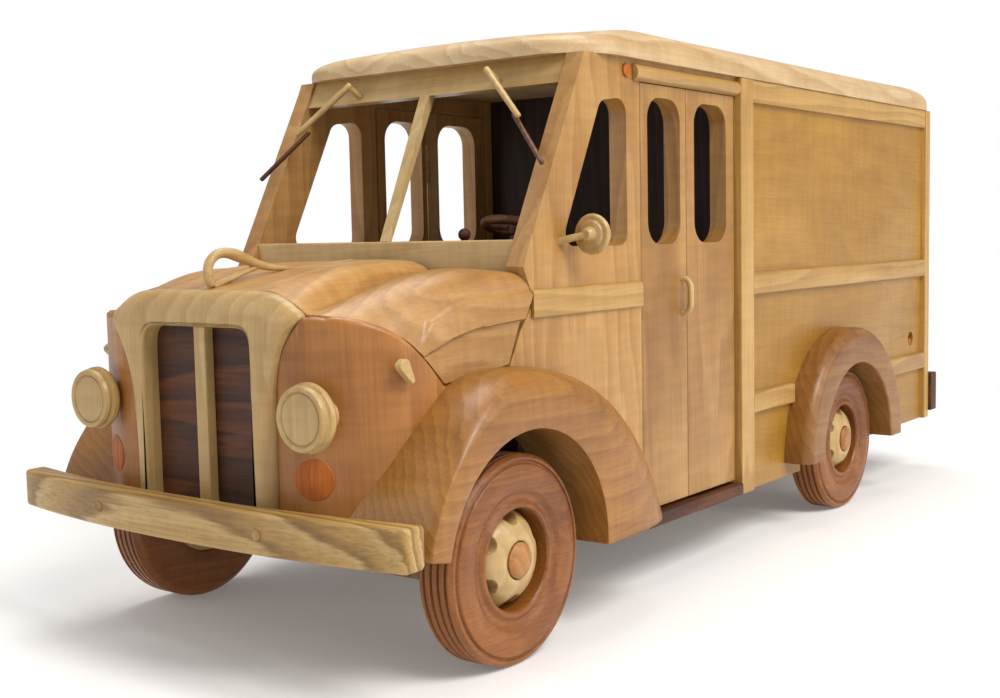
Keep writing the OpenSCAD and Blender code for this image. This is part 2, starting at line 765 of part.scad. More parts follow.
// ---- steering and seat ----
column_d = 5;
shaft_d = 2.6;
module steering_column() {
    axis = unit2(steering_top - steering_foot);
    end = steering_top - axis * 6;
    color("#6B3A1E") truck() {
        difference() {
            rod(steering_foot - axis, end, column_d);
            rod(end - axis * 9, end + axis, shaft_d + 0.16);
            block([0, 0, floor_z - 9], [60, 90, floor_z]);
        }
        difference() {
            rod([18, 56, floor_z - 2], [20, 49, 128], 2.4);
            block([0, 30, floor_z - 9], [60, 90, floor_z]);
        }
        translate([20, 49, 129.4]) sphere(d = 4.4);
    }
}

module steering_wheel() {
    axis = unit2(steering_top - steering_foot);
    tilt = acos(axis[2]);
    rim = 1.7;
    color("#8A5A30") truck() {
        translate(steering_top) rotate([-tilt, 0, 0]) {
            rotate_extrude($fn = 64) translate([steering_d / 2 - rim, 0, 0]) circle(r = rim, $fn = 24);
            translate([0, 0, -3]) cylinder(d = 6, h = 4);
            translate([0, 0, -13]) cylinder(d = shaft_d, h = 11, $fn = 32);
            for (a = [90, 210, 330]) {
                rotate([0, 0, a]) translate([2, -1, -1.4]) cube([steering_d / 2 - rim - 2, 2, 2]);
            }
        }
    }
}

module seat() {
    color("#A06A3C") truck() {
        block([14, 104, floor_z], [42, 132, floor_z + 26]);
        block([12, 102, floor_z + 26], [44, 134, floor_z + 32]);
        block([12, 134, floor_z + 26], [44, 139, floor_z + 66]);
    }
}

// ---- wipers and mirrors ----
module wiper() {
    lift = 3;
    translate(wiper_pivot) rotate([-windshield_lean, 0, 0]) {
        rotate([90, 0, 0]) cylinder(d = wiper_peg_d, h = 10.6, center = true, $fn = 32);
        translate([0, -lift - 1.2, 0]) rotate([0, 135, 0]) {
            translate([0, 0, -1.6]) cylinder(d = 2.4, h = 29, $fn = 24);
        }
        translate([0, -lift - 0.6, 0]) rotate([0, 138, 0]) {
            translate([-0.7, 0.7, 22]) cube([1.4, 1.9, 27]);
        }
    }
}

module wiper_left() {
    color("#D0A66A") truck() wiper();
}

module wiper_right() {
    color("#D0A66A") truck() on_side(-1) wiper();
}

module mirror_piece() {
    rod(mirror_root, mirror_eye, mirror_arm_d);
    translate(mirror_eye + [0, -1.4, 0]) rotate([-90, 0, 0]) cylinder(d1 = 3.4, d2 = 4.4, h = 3);
    translate(mirror_eye + [0, 1, 0]) rotate([-90, 0, 0]) rotate_extrude()
        polygon([[0, 0], [mirror_d / 2 - 2.6, 0], [mirror_d / 2 - 2, 0.8], [mirror_d / 2 - 0.4, 0.8],
            [mirror_d / 2, 1.6], [mirror_d / 2, 2.8], [mirror_d / 2 - 0.6, 3.4], [0, 3.4]]);
}

module mirrors() {
    color("#D9B57C") truck() both_sides() mirror_piece();
}

// ---- side doors ----
knuckles = [[52, 66], [98, 112], [152, 166]];
module knuckle_zone(z, h, r) {
    translate([knuckle_x, leaf_seam, z]) cylinder(r = r, h = h, $fn = 32);
}

function leaf_windows() = [[door_y + 5.3, leaf_seam - 4.6], [leaf_seam + 6, door_end - 8.3]];

module leaf_window(pair) {
    side_board(outline([[pair[0], window_z, window_r], [pair[1], window_z, window_r],
        [pair[1], window_top, window_r], [pair[0], window_top, window_r]]), inner_x - 1, side_t + 2);
}

bevel = 5;
module front_leaf() {
    front = door_y + door_gap / 2;
    rear = leaf_seam - 0.15;
    difference() {
        union() {
            translate([0, 0, door_z]) linear_extrude(door_top - door_z) polygon(outline([
                [inner_x, front + 0.6, 0], [inner_x, rear - bevel, 0], [knuckle_x, rear, 0], [half_w, rear, 0.4],
                [half_w, front, pivot_in * 0.96]]));
            for (k = knuckles) {
                knuckle_zone(k[0] + 4.6, k[1] - k[0] - 9.2, knuckle_r);
                leaf_ear(k[0] + 4.6, k[1] - k[0] - 9.2, -1);
            }
        }
        leaf_window(leaf_windows()[0]);
        for (k = knuckles) {
            knuckle_zone(k[0] - 0.2, 4.8, knuckle_r + 0.3);
            knuckle_zone(k[1] - 4.6, 4.8, knuckle_r + 0.3);
        }
        translate([knuckle_x, leaf_seam, door_z + 20]) cylinder(d = leaf_pin_d, h = 120, $fn = 24);
        translate([pivot_x, pivot_y, door_z - 1]) cylinder(d = pivot_d + 0.12, h = 7, $fn = 24);
        translate([pivot_x, pivot_y, door_top - 6]) cylinder(d = pivot_d + 0.12, h = 7, $fn = 24);
        handle_holes();
    }
}

// Ear that joins a knuckle to its leaf, on the leaf's side of the seam
module leaf_ear(z, h, way) {
    translate([0, leaf_seam, z]) linear_extrude(h)
        polygon([[knuckle_x, 0], [knuckle_x + knuckle_r, 0], [knuckle_x + knuckle_r, way * 3],
            [knuckle_x - 0.9, way * 3.2]]);
}

module rear_leaf() {
    front = leaf_seam + 0.15;
    rear = door_end - trail_gap;
    difference() {
        union() {
            translate([0, 0, door_z]) linear_extrude(door_top - door_z) polygon(outline([
                [inner_x, front + bevel, 0], [inner_x, rear, 0], [half_w, rear, 1.6], [half_w, front, 0.4],
                [knuckle_x, front, 0]]));
            for (k = knuckles) {
                knuckle_zone(k[0], 4.4, knuckle_r);
                leaf_ear(k[0], 4.4, 1);
                knuckle_zone(k[1] - 4.4, 4.4, knuckle_r);
                leaf_ear(k[1] - 4.4, 4.4, 1);
            }
        }
        leaf_window(leaf_windows()[1]);
        for (k = knuckles) {
            knuckle_zone(k[0] + 4.4, k[1] - k[0] - 8.8, knuckle_r + 0.3);
        }
        translate([knuckle_x, leaf_seam, door_z + 20]) cylinder(d = leaf_pin_d + 0.12, h = 120, $fn = 24);
    }
}

module front_leaf_left() {
    color("#CB9A5B") truck() front_leaf();
}

module rear_leaf_left() {
    color("#CB9A5B") truck() rear_leaf();
}

module front_leaf_right() {
    color("#CB9A5B") truck() on_side(-1) front_leaf();
}

module rear_leaf_right() {
    color("#CB9A5B") truck() on_side(-1) rear_leaf();
}

handle_y = leaf_seam - 3.4;
handle_z = [99, 111];
module handle_holes() {
    for (z = handle_z) {
        translate([half_w - 2, handle_y, z]) rotate([0, 90, 0]) cylinder(d = 2, h = 8, $fn = 24);
    }
}

// Wooden pull: two pegs and a grip
module door_pull() {
    for (z = handle_z) {
        translate([half_w - 2, handle_y, z]) rotate([0, 90, 0]) cylinder(d = 2, h = 5, $fn = 24);
    }
    side_board(outline([[handle_y - 1.4, handle_z[0] - 1.6, 1.2], [handle_y + 1.4, handle_z[0] - 1.6, 1.2],
        [handle_y + 1.4, handle_z[1] + 1.6, 1.2], [handle_y - 1.4, handle_z[1] + 1.6, 1.2]]), half_w + 2.4, 2.2);
}

module door_handle_left() {
    color("#DDBB85") truck() door_pull();
}

module door_handle_right() {
    color("#DDBB85") truck() on_side(-1) door_pull();
}

module leaf_pin_left() {
    color("#B9A26A") truck()
        translate([knuckle_x, leaf_seam, knuckles[0][0] - 2]) cylinder(d = leaf_pin_d, h = knuckles[2][1] - knuckles[0][0] + 4, $fn = 24);
}

module leaf_pin_right() {
    color("#B9A26A") truck() on_side(-1)
        translate([knuckle_x, leaf_seam, knuckles[0][0] - 2]) cylinder(d = leaf_pin_d, h = knuckles[2][1] - knuckles[0][0] + 4, $fn = 24);
}

rear_hinge_x = inner_x - 2;
rear_hinge_y = box_rear - 1.8;
rear_pin_d = 1.8;

// Pins fixed in the body: side-door pivots, rear-door pivots and hood pins
module hinge_pins() {
    low = step_top;
    color("#B9A26A") truck() both_sides() {
        translate([pivot_x, pivot_y, low]) cylinder(d = pivot_d, h = door_z - low + 5, $fn = 24);
        translate([pivot_x, pivot_y, door_top - 5]) cylinder(d = pivot_d, h = 5 + door_gap + pivot_reach, $fn = 24);
        translate([rear_hinge_x, rear_hinge_y, sill_top - 3]) cylinder(d = rear_pin_d, h = 8, $fn = 24);
        translate([rear_hinge_x, rear_hinge_y, rear_header_z - 5]) cylinder(d = rear_pin_d, h = 8, $fn = 24);
        translate([ear_out - ear_w, hinge_y, hinge_z]) rotate([0, 90, 0])
            cylinder(d = hood_pin_d, h = ear_w + 0.4 + lug_w);
    }
}

// ---- box ----
filler = [359.6, 70.9];
filler_d = 7;
function box_side_points() =
    [[post_end, skirt_z, 0], [wheelbase - arch_r + 2, skirt_z, 0], [wheelbase - arch_r + 2, rear_fender_z, 0],
     [wheelbase, axle_z, 0], [wheelbase + arch_r - 2, rear_fender_z, 0], [wheelbase + arch_r - 2, tail_z, 0],
     [box_rear - rear_post_w, tail_z, 0], [box_rear - rear_post_w, roof_joint_z, 0], [post_end, roof_joint_z, 0]];

module box_side() {
    difference() {
        side_board(outline(box_side_points()), inner_x, side_t);
        translate([inner_x - 1, wheelbase, rear_fender_z]) rotate([0, 90, 0]) cylinder(r = arch_r - 1, h = side_t + 2, $fn = 96);
        translate([half_w - 4, filler[0], filler[1]]) rotate([0, 90, 0]) cylinder(d = filler_d, h = 6);
        translate([inner_x + 1, filler[0] - 1, filler[1] - 1.4]) rotate([0, 90, 0]) cylinder(d = 3, h = 4);
    }
}

module box_side_left() {
    color("#CB9850") truck() box_side();
}

module box_side_right() {
    color("#CB9850") truck() on_side(-1) box_side();
}

// Door posts and rear corner posts
module side_posts() {
    color("#D0A763") truck() both_sides() {
        block([inner_x, door_end, skirt_z], [half_w + proud, post_end, roof_joint_z]);
        block([inner_x, box_rear - rear_post_w, tail_z], [half_w + proud, box_rear, roof_joint_z]);
    }
}

// A moulding along the side: a bar with bevelled edges from y0 to y1
module moulding(y0, y1, z, h) {
    soft = 1;
    translate([0, y1, 0]) rotate([90, 0, 0]) linear_extrude(y1 - y0)
        polygon(outline([[half_w, z, 0], [half_w + proud, z + 0.6, soft], [half_w + proud, z + h - 0.6, soft], [half_w, z + h, 0]]));
}

lower_rail_z = 53.8;
lower_rail_h = 9.2;
eaves_z = 179.8;
bead_d = 6;
bead_z = 184.4;
module side_mouldings() {
    rear = box_rear - rear_post_w;
    rise = lower_rail_z - rear_fender_z;
    reach = sqrt(pow(rear_fender_r, 2) - pow(rise, 2)) + 0.3;
    color("#D3AB68") truck() both_sides() {
        moulding(26.6, door_y - 0.4, belt_z, belt_h);
        moulding(post_end, rear, belt_z, belt_h);
        moulding(post_end, wheelbase - reach, lower_rail_z, lower_rail_h);
        moulding(wheelbase + reach, rear, lower_rail_z, lower_rail_h);
        block([half_w, post_end, eaves_z], [half_w + proud - 0.6, rear, roof_joint_z]);
        difference() {
            translate([half_w - 0.4, 86.6, bead_z]) rotate([-90, 0, 0]) cylinder(d = bead_d, h = door_end - 86.6);
            block([0, 80, 100], [half_w, 200, 200]);
        }
    }
}

// Pegs let into the sides: roof markers and the fuel filler's peg
module side_pegs() {
    color("#B85418") truck() both_sides() {
        translate([half_w - 4, marker[0], marker[1]]) rotate([0, 90, 0]) cylinder(d = marker_d, h = 4.8);
        translate([inner_x + 1, filler[0] - 1, filler[1] - 1.4]) rotate([0, 90, 0]) cylinder(d = 3, h = 6);
    }
}

step_top = skirt_z + 4.7;
module steps() {
    out = 3;
    color("#6B3A1E") truck() both_sides() {
        block([chassis_waist - 5, door_y, skirt_z], [half_w + out, door_end, step_top]);
        block([chassis_waist - 5, door_y, step_top], [chassis_waist, door_end, chassis_z]);
    }
}

module bulkhead() {
    y = post_end - bulkhead_t - 2;
    color("#5A3018") truck()
        block([-inner_x, y, floor_z], [inner_x, y + bulkhead_t, roof_joint_z]);
}

// ---- roof ----
roof_front = 52.2;
module roof() {
    x = half_w + roof_over;
    drop = 4.2;
    rear = box_rear + 1.2;
    color("#DDBB85") truck() intersection() {
        translate([0, rear + 1, 0]) rotate([90, 0, 0])
            linear_extrude(rear - roof_front + 2) polygon(outline([[-x, roof_joint_z, 0], [x, roof_joint_z, 0],
                [x - 0.2, roof_z - drop + 1.4, roof_edge_r * 0.9], [half_w / 2, roof_z, 60], [-half_w / 2, roof_z, 60],
                [-x + 0.2, roof_z - drop + 1.4, roof_edge_r * 0.9]]));
        side_board(outline([[roof_front, roof_joint_z - 1, 0], [roof_front, roof_joint_z + 2, 0],
            [roof_front + 4, roof_z - 4, 7], [roof_front + 40, roof_z, 50], [rear - 30, roof_z, 50], [rear, roof_z - 2, 9],
            [rear, roof_joint_z - 1, 0]]), -x - 1, 2 * x + 2);
        translate([0, 0, roof_joint_z - 1]) linear_extrude(roof_h + 2)
            polygon(outline([[-x, roof_front, roof_corner_r], [x, roof_front, roof_corner_r], [x, rear, 9], [-x, rear, 9]]));
    }
}

// ---- rear ----
module rear_frame() {
    y = box_rear - rear_frame_t;
    color("#C99A5A") truck() difference() {
        union() {
            block([-inner_x, y, tail_z], [inner_x, box_rear, sill_top]);
            block([-inner_x, y, rear_header_z], [inner_x, box_rear, roof_joint_z]);
        }
        both_sides() for (z = [sill_top - 3, rear_header_z]) {
            translate([rear_hinge_x, rear_hinge_y, z]) cylinder(d = rear_pin_d, h = 3, $fn = 24);
        }
    }
}

rear_window = [112, 160];
module rear_door() {
    y = box_rear - rear_frame_t;
    low = sill_top + rear_door_gap;
    high = rear_header_z - rear_door_gap;
    edge = inner_x - rear_door_gap;
    difference() {
        union() {
            translate([0, 0, low]) linear_extrude(high - low)
                polygon(outline([[rear_door_gap / 2, y, 0], [edge, y, 0], [edge, box_rear, 1.5], [rear_door_gap / 2, box_rear, 0.4]]));
            translate([6, box_rear - 1, 96]) rotate([-90, 0, 0]) cylinder(d = 2.4, h = 4);
            translate([6, box_rear + 3, 96]) rotate([-90, 0, 0]) cylinder(d = 5, h = 2.4);
        }
        cross_board(outline([[12, rear_window[0], 6], [44, rear_window[0], 6], [44, rear_window[1], 6], [12, rear_window[1], 6]]),
            y - 1, rear_frame_t + 2);
        translate([rear_hinge_x, rear_hinge_y, low - 1]) cylinder(d = rear_pin_d + 0.12, h = 7, $fn = 24);
        translate([rear_hinge_x, rear_hinge_y, high - 6]) cylinder(d = rear_pin_d + 0.12, h = 7, $fn = 24);
    }
}

module rear_door_left() {
    color("#CB9850") truck() rear_door();
}

module rear_door_right() {
    color("#CB9850") truck() on_side(-1) rear_door();
}

// ---- wheels by place ----
module tyre_front_left() {
    tyre(1, 0, front_track_x);
}

module tyre_front_right() {
    tyre(-1, 0, front_track_x);
}

module tyre_rear_left() {
    tyre(1, wheelbase, rear_track_x);
}

module tyre_rear_right() {
    tyre(-1, wheelbase, rear_track_x);
}

module hub_front_left() {
    hub(1, 0, front_track_x);
}

module hub_front_right() {
    hub(-1, 0, front_track_x);
}

module hub_rear_left() {
    hub(1, wheelbase, rear_track_x);
}

module hub_rear_right() {
    hub(-1, wheelbase, rear_track_x);
}

chassis();
axles();
axle_caps();
tyre_front_left();
tyre_front_right();
tyre_rear_left();
tyre_rear_right();
hub_front_left();
hub_front_right();
hub_rear_left();
hub_rear_right();
grille_surround();
grille_panel();
grille_bar();
nose_cheek_left();
nose_cheek_right();
headlights();
turn_lamps();
side_pegs();
cheek_leaves();
front_bumper();
bumper_dowels();
hood();
hood_ornament();
front_fender_left();
front_fender_right();
rear_fender_left();
rear_fender_right();
cab_side_left();
cab_side_right();
cowl_bar();
windshield_header();
windshield_post();
firewall();
steering_column();
steering_wheel();
seat();
wiper_left();
wiper_right();
mirrors();
front_leaf_left();
rear_leaf_left();
front_leaf_right();
rear_leaf_right();
door_handle_left();
door_handle_right();
hinge_pins();
leaf_pin_left();
leaf_pin_right();
box_side_left();
box_side_right();
side_posts();
side_mouldings();
steps();
bulkhead();
roof();
rear_frame();
rear_door_left();
rear_door_right();
rear_bumper();
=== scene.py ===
"""Looks of a wooden model delivery truck: boards with eased edges, turned wheels and carved body work."""
import json
import logging
import math
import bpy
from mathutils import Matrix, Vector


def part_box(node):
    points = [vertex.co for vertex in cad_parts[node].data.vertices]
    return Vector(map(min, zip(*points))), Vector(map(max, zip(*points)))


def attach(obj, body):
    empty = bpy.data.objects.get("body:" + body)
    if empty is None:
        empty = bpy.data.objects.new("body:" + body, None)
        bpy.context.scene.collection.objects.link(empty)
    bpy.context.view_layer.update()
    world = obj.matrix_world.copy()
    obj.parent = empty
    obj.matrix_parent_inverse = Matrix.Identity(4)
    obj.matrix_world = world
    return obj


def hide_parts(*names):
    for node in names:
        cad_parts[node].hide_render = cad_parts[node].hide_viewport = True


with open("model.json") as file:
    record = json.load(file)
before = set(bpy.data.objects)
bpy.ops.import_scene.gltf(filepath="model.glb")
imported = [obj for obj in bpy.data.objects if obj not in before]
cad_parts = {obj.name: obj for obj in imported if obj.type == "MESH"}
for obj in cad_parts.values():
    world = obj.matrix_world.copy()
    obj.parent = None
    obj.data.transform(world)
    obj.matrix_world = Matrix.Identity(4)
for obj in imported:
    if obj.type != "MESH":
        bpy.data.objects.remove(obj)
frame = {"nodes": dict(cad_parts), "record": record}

import zlib
from dataclasses import dataclass
from enum import Enum
from typing import Sequence

import bmesh
import bpy
import numpy as np
from mathutils import Matrix, Vector

LOG = logging.getLogger("truck")
MM = 0.001
SIDES = {"left": 1.0, "right": -1.0}
MERGE = 2e-6         # vertices nearer than this, in metres, are one


# ---------------------------------------------------------------- places from the frame
def box_mm(node: str) -> np.ndarray:
    """Lowest and highest corner of a CAD node in millimetres.

    Args:
        node: Name of the CAD node.

    Returns:
        A 2 by 3 array, lowest corner first.
    """
    return np.array(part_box(node)) / MM


def body_of(node: str) -> str:
    """Body that a CAD node belongs to.

    Args:
        node: Name of the CAD node.

    Returns:
        The body's name in the record.
    """
    groups = frame["record"]["behaviour"]["bodies"]
    return next(body for body, members in groups.items() if node in members)


def slot_of(node: str) -> str:
    """Material slot that the record gives a CAD node.

    Args:
        node: Name of the CAD node.

    Returns:
        The slot's name.
    """
    rows = frame["record"]["subparts"]
    return next(row["material_slot"] for row in rows if row["node"] == node)


AXLE_Y = float(box_mm("tyre_front_left")[:, 1].mean())
AXLE_Z = float(box_mm("tyre_front_left")[:, 2].mean())
HALF_W = float(box_mm("cab_side_left")[1, 0])
INNER_X = float(box_mm("cab_side_left")[0, 0])
BUMPER_HALF = float(box_mm("front_bumper")[1, 0])
BUMPER_BACK = -59.0  # back of the bumper at its middle, counted from the front axle


# ---------------------------------------------------------------- curves and surfaces
def smoothstep(t: np.ndarray) -> np.ndarray:
    """Ease from 0 to 1: three t squared less two t cubed, with t held between 0 and 1.

    Args:
        t: Share of the way, any shape.

    Returns:
        The eased share, same shape.
    """
    t = np.clip(t, 0.0, 1.0)
    return t * t * (3.0 - 2.0 * t)


def quarter(t: np.ndarray) -> np.ndarray:
    """Rise from 0 to 1 along a quarter circle: the root of one less the square of one less t.

    Args:
        t: Share of the way, any shape, held between 0 and 1.

    Returns:
        The height, same shape.
    """
    return np.sqrt(np.clip(1 - (1 - np.clip(t, 0, 1)) ** 2, 0, 1))


def through(points: Sequence[Sequence[float]], count: int, closed: bool = False) -> np.ndarray:
    """Smooth curve through points: a Catmull-Rom cubic on each span, evenly spaced in its parameter.

    Args:
        points: Points that the curve passes through.
        count: Number of points on the result.
        closed: Whether the curve returns to its start.

    Returns:
        Array of count points.
    """
    p = np.asarray(points, float)
    spans = len(p) if closed else len(p) - 1
    t = np.linspace(0.0, spans, count, endpoint=not closed)
    i = np.minimum(t.astype(int), spans - 1)
    u = (t - i)[:, None]
    if closed:
        a, b, c, d = (p[(i + k) % len(p)] for k in (-1, 0, 1, 2))
    else:
        a, b, c, d = (p[np.clip(i + k, 0, len(p) - 1)] for k in (-1, 0, 1, 2))
    square, cube = (2 * a - 5 * b + 4 * c - d) * u ** 2, (3 * b - a - 3 * c + d) * u ** 3
    return 0.5 * (2 * b + (c - a) * u + square + cube)


def even(curve: np.ndarray, count: int) -> np.ndarray:
    """The same curve with its points spaced evenly by length.

    Args:
        curve: Points of the curve.
        count: Number of points wanted.

    Returns:
        Array of count points.
    """
    run = np.concatenate([[0.0], np.cumsum(np.linalg.norm(np.diff(curve, axis=0), axis=1))])
    at = np.linspace(0.0, run[-1], count)
    return np.stack([np.interp(at, run, curve[:, k]) for k in range(curve.shape[1])], axis=1)


def rounded_path(points: Sequence[Sequence[float]], steps: int = 8) -> np.ndarray:
    """Closed outline whose corners are arcs tangent to both edges; each point is x, y, radius.

    Args:
        points: Corners with their radii.
        steps: Points on each arc, less one.

    Returns:
        Array of (x, y) points in order.
    """
    p = np.asarray(points, float)
    before, after = np.roll(p, 1, axis=0), np.roll(p, -1, axis=0)
    u = before[:, :2] - p[:, :2]
    w = after[:, :2] - p[:, :2]
    u /= np.linalg.norm(u, axis=1)[:, None]
    w /= np.linalg.norm(w, axis=1)[:, None]
    half = np.arccos(np.clip((u * w).sum(1), -0.9999, 0.9999)) / 2
    radius = np.maximum(p[:, 2], 0.01)
    way = (u + w) / np.linalg.norm(u + w, axis=1)[:, None]
    centre = p[:, :2] + way * (radius / np.sin(half))[:, None]
    start = p[:, :2] + u * (radius / np.tan(half))[:, None] - centre
    end = p[:, :2] + w * (radius / np.tan(half))[:, None] - centre
    turn = np.arctan2(start[:, 0] * end[:, 1] - start[:, 1] * end[:, 0], (start * end).sum(1))
    angle = np.arctan2(start[:, 1], start[:, 0])[:, None] + turn[:, None] * np.linspace(0, 1, steps + 1)
    arc = np.stack([np.cos(angle), np.sin(angle)], axis=2) * radius[:, None, None]
    return (centre[:, None, :] + arc).reshape(-1, 2)


def grid_object(name: str, p: np.ndarray, wrap_u: bool = False, wrap_v: bool = False,
                caps: bool = False, sharp: float = 38.0) -> bpy.types.Object:
    """Mesh object from a grid of points in millimetres, counted from the front axle along Y.

    Args:
        name: Name of the piece.
        p: Array of shape (nu, nv, 3).
        wrap_u: Whether the last row joins the first.
        wrap_v: Whether the last column joins the first.
        caps: Whether the open ends along u are closed with one face each.
        sharp: Angle in degrees past which an edge shows as a crease.

    Returns:
        The new object, at the origin, its faces pointing outwards.
    """
    nu, nv = p.shape[:2]
    at = (p.reshape(-1, 3) + np.array([0.0, AXLE_Y, 0.0])) * MM
    i = np.arange(nu if wrap_u else nu - 1)[:, None]
    j = np.arange(nv if wrap_v else nv - 1)[None, :]
    i2, j2 = (i + 1) % nu, (j + 1) % nv
    quads = np.stack(np.broadcast_arrays(i * nv + j, i2 * nv + j, i2 * nv + j2, i * nv + j2), axis=-1)
    faces = quads.reshape(-1, 4).tolist()
    if caps:
        faces += [list(range(nv)), [(nu - 1) * nv + k for k in range(nv)]]
    mesh = bpy.data.meshes.new(name)
    mesh.from_pydata(at.tolist(), [], faces)
    return tidy_object(name, mesh, sharp)


def face_outwards(bm: bmesh.types.BMesh) -> None:
    """Turn every face of a closed mesh outwards.

    Args:
        bm: The mesh.
    """
    bmesh.ops.recalc_face_normals(bm, faces=bm.faces)
    if bm.calc_volume(signed=True) < 0:
        bmesh.ops.reverse_faces(bm, faces=bm.faces)


def tidy_object(name: str, mesh: bpy.types.Mesh, sharp: float = 38.0) -> bpy.types.Object:
    """Object from a mesh: poles and seams merged, faces turned outwards, creases kept past an angle.

    Args:
        name: Name of the piece.
        mesh: Mesh with its place in its vertices, in metres.
        sharp: Angle in degrees past which an edge shows as a crease.

    Returns:
        The linked object.
    """
    bm = bmesh.new()
    bm.from_mesh(mesh)
    bmesh.ops.remove_doubles(bm, verts=bm.verts, dist=MERGE)
    bmesh.ops.dissolve_degenerate(bm, dist=1e-7, edges=bm.edges)
    face_outwards(bm)
    bm.to_mesh(mesh)
    bm.free()
    mesh.polygons.foreach_set("use_smooth", np.ones(len(mesh.polygons), bool))
    mesh.set_sharp_from_angle(angle=math.radians(sharp))
    obj = bpy.data.objects.new(name, mesh)
    bpy.context.scene.collection.objects.link(obj)
    return obj


def lathe(name: str, profile: np.ndarray, centre: Sequence[float], axis: Sequence[float],
          turns: int = 96, sharp: float = 38.0, closed: bool = False) -> bpy.types.Object:
    """Turned piece: each (radius, height) of the profile carried round the axis through the centre.

    Args:
        name: Name of the piece.
        profile: Array of (radius, height) pairs in millimetres.
        centre: Where height 0 lies on the axis, in millimetres.
        axis: Direction of growing height.
        turns: Points round the axis.
        sharp: Crease angle in degrees.
        closed: Whether the profile returns to its start instead of ending on the axis.

    Returns:
        The new object.
    """
    n = np.asarray(axis, float)
    n /= np.linalg.norm(n)
    a = np.cross(n, [0.0, 0.0, 1.0] if abs(n[2]) < 0.9 else [1.0, 0.0, 0.0])
    a /= np.linalg.norm(a)
    b = np.cross(n, a)
    angle = np.linspace(0, 2 * math.pi, turns, endpoint=False)[:, None, None]
    ring = np.cos(angle) * a + np.sin(angle) * b
    p = np.asarray(centre, float) + profile[None, :, 1:2] * n + profile[None, :, 0:1] * ring
    return grid_object(name, p, wrap_u=True, wrap_v=closed, sharp=sharp)


def rod(name: str, path: np.ndarray, radius: np.ndarray, turns: int = 20, flat: float = 1.0,
        up: Sequence[float] = (1.0, 0.0, 0.0)) -> bpy.types.Object:
    """Round bar along a path, its ends rounded over: a circle of the local radius set square to the path.

    Args:
        name: Name of the piece.
        path: Array of points in millimetres.
        radius: Radius at each point.
        turns: Points round the bar.
        flat: Share of the radius that is left across the second direction.
        up: A direction that the path never runs along.

    Returns:
        The new object.
    """
    way = np.gradient(path, axis=0)
    way /= np.linalg.norm(way, axis=1)[:, None]
    a = np.cross(way, np.asarray(up, float))
    a /= np.linalg.norm(a, axis=1)[:, None]
    b = np.cross(way, a)
    angle = np.linspace(0, 2 * math.pi, turns, endpoint=False)[None, :, None]
    circle = np.cos(angle) * a[:, None, :] + flat * np.sin(angle) * b[:, None, :]
    p = path[:, None, :] + radius[:, None, None] * circle
    return grid_object(name, p, wrap_v=True, sharp=50.0)


def capsule(start: Sequence[float], end: Sequence[float], radius: float, count: int = 24,
            taper: float = 1.0) -> tuple[np.ndarray, np.ndarray]:
    """Straight path with radii that close to a point at both ends over a short dome.

    Args:
        start: First point.
        end: Last point.
        radius: Radius at the start.
        count: Points along the path.
        taper: Radius at the end as a share of the start's.

    Returns:
        Points and radii.
    """
    a, b = np.asarray(start, float), np.asarray(end, float)
    length = np.linalg.norm(b - a)
    dome = min(radius * 0.5, length * 0.3)
    t = 0.5 - 0.5 * np.cos(np.linspace(0, math.pi, count))
    run = t * length
    edge = np.minimum(run, length - run) / dome
    return a + (b - a) * t[:, None], radius * quarter(edge) * (1 + (taper - 1) * t)


# ---------------------------------------------------------------- finishes
class Grain(Enum):
    """Direction that the wood's fibres run in, as the turn that brings it upright."""

    X = (0.0, -90.0, 0.0)
    Y = (90.0, 0.0, 0.0)
    Z = (0.0, 0.0, 0.0)


def linear(code: str) -> tuple[float, float, float, float]:
    """Linear colour from an sRGB hex code.

    Args:
        code: Six hex digits with a leading #.

    Returns:
        Linear red, green and blue with alpha 1.
    """
    c = [int(code[k:k + 2], 16) / 255 for k in (1, 3, 5)]
    r, g, b = (v / 12.92 if v <= 0.04045 else ((v + 0.055) / 1.055) ** 2.4 for v in c)
    return r, g, b, 1.0


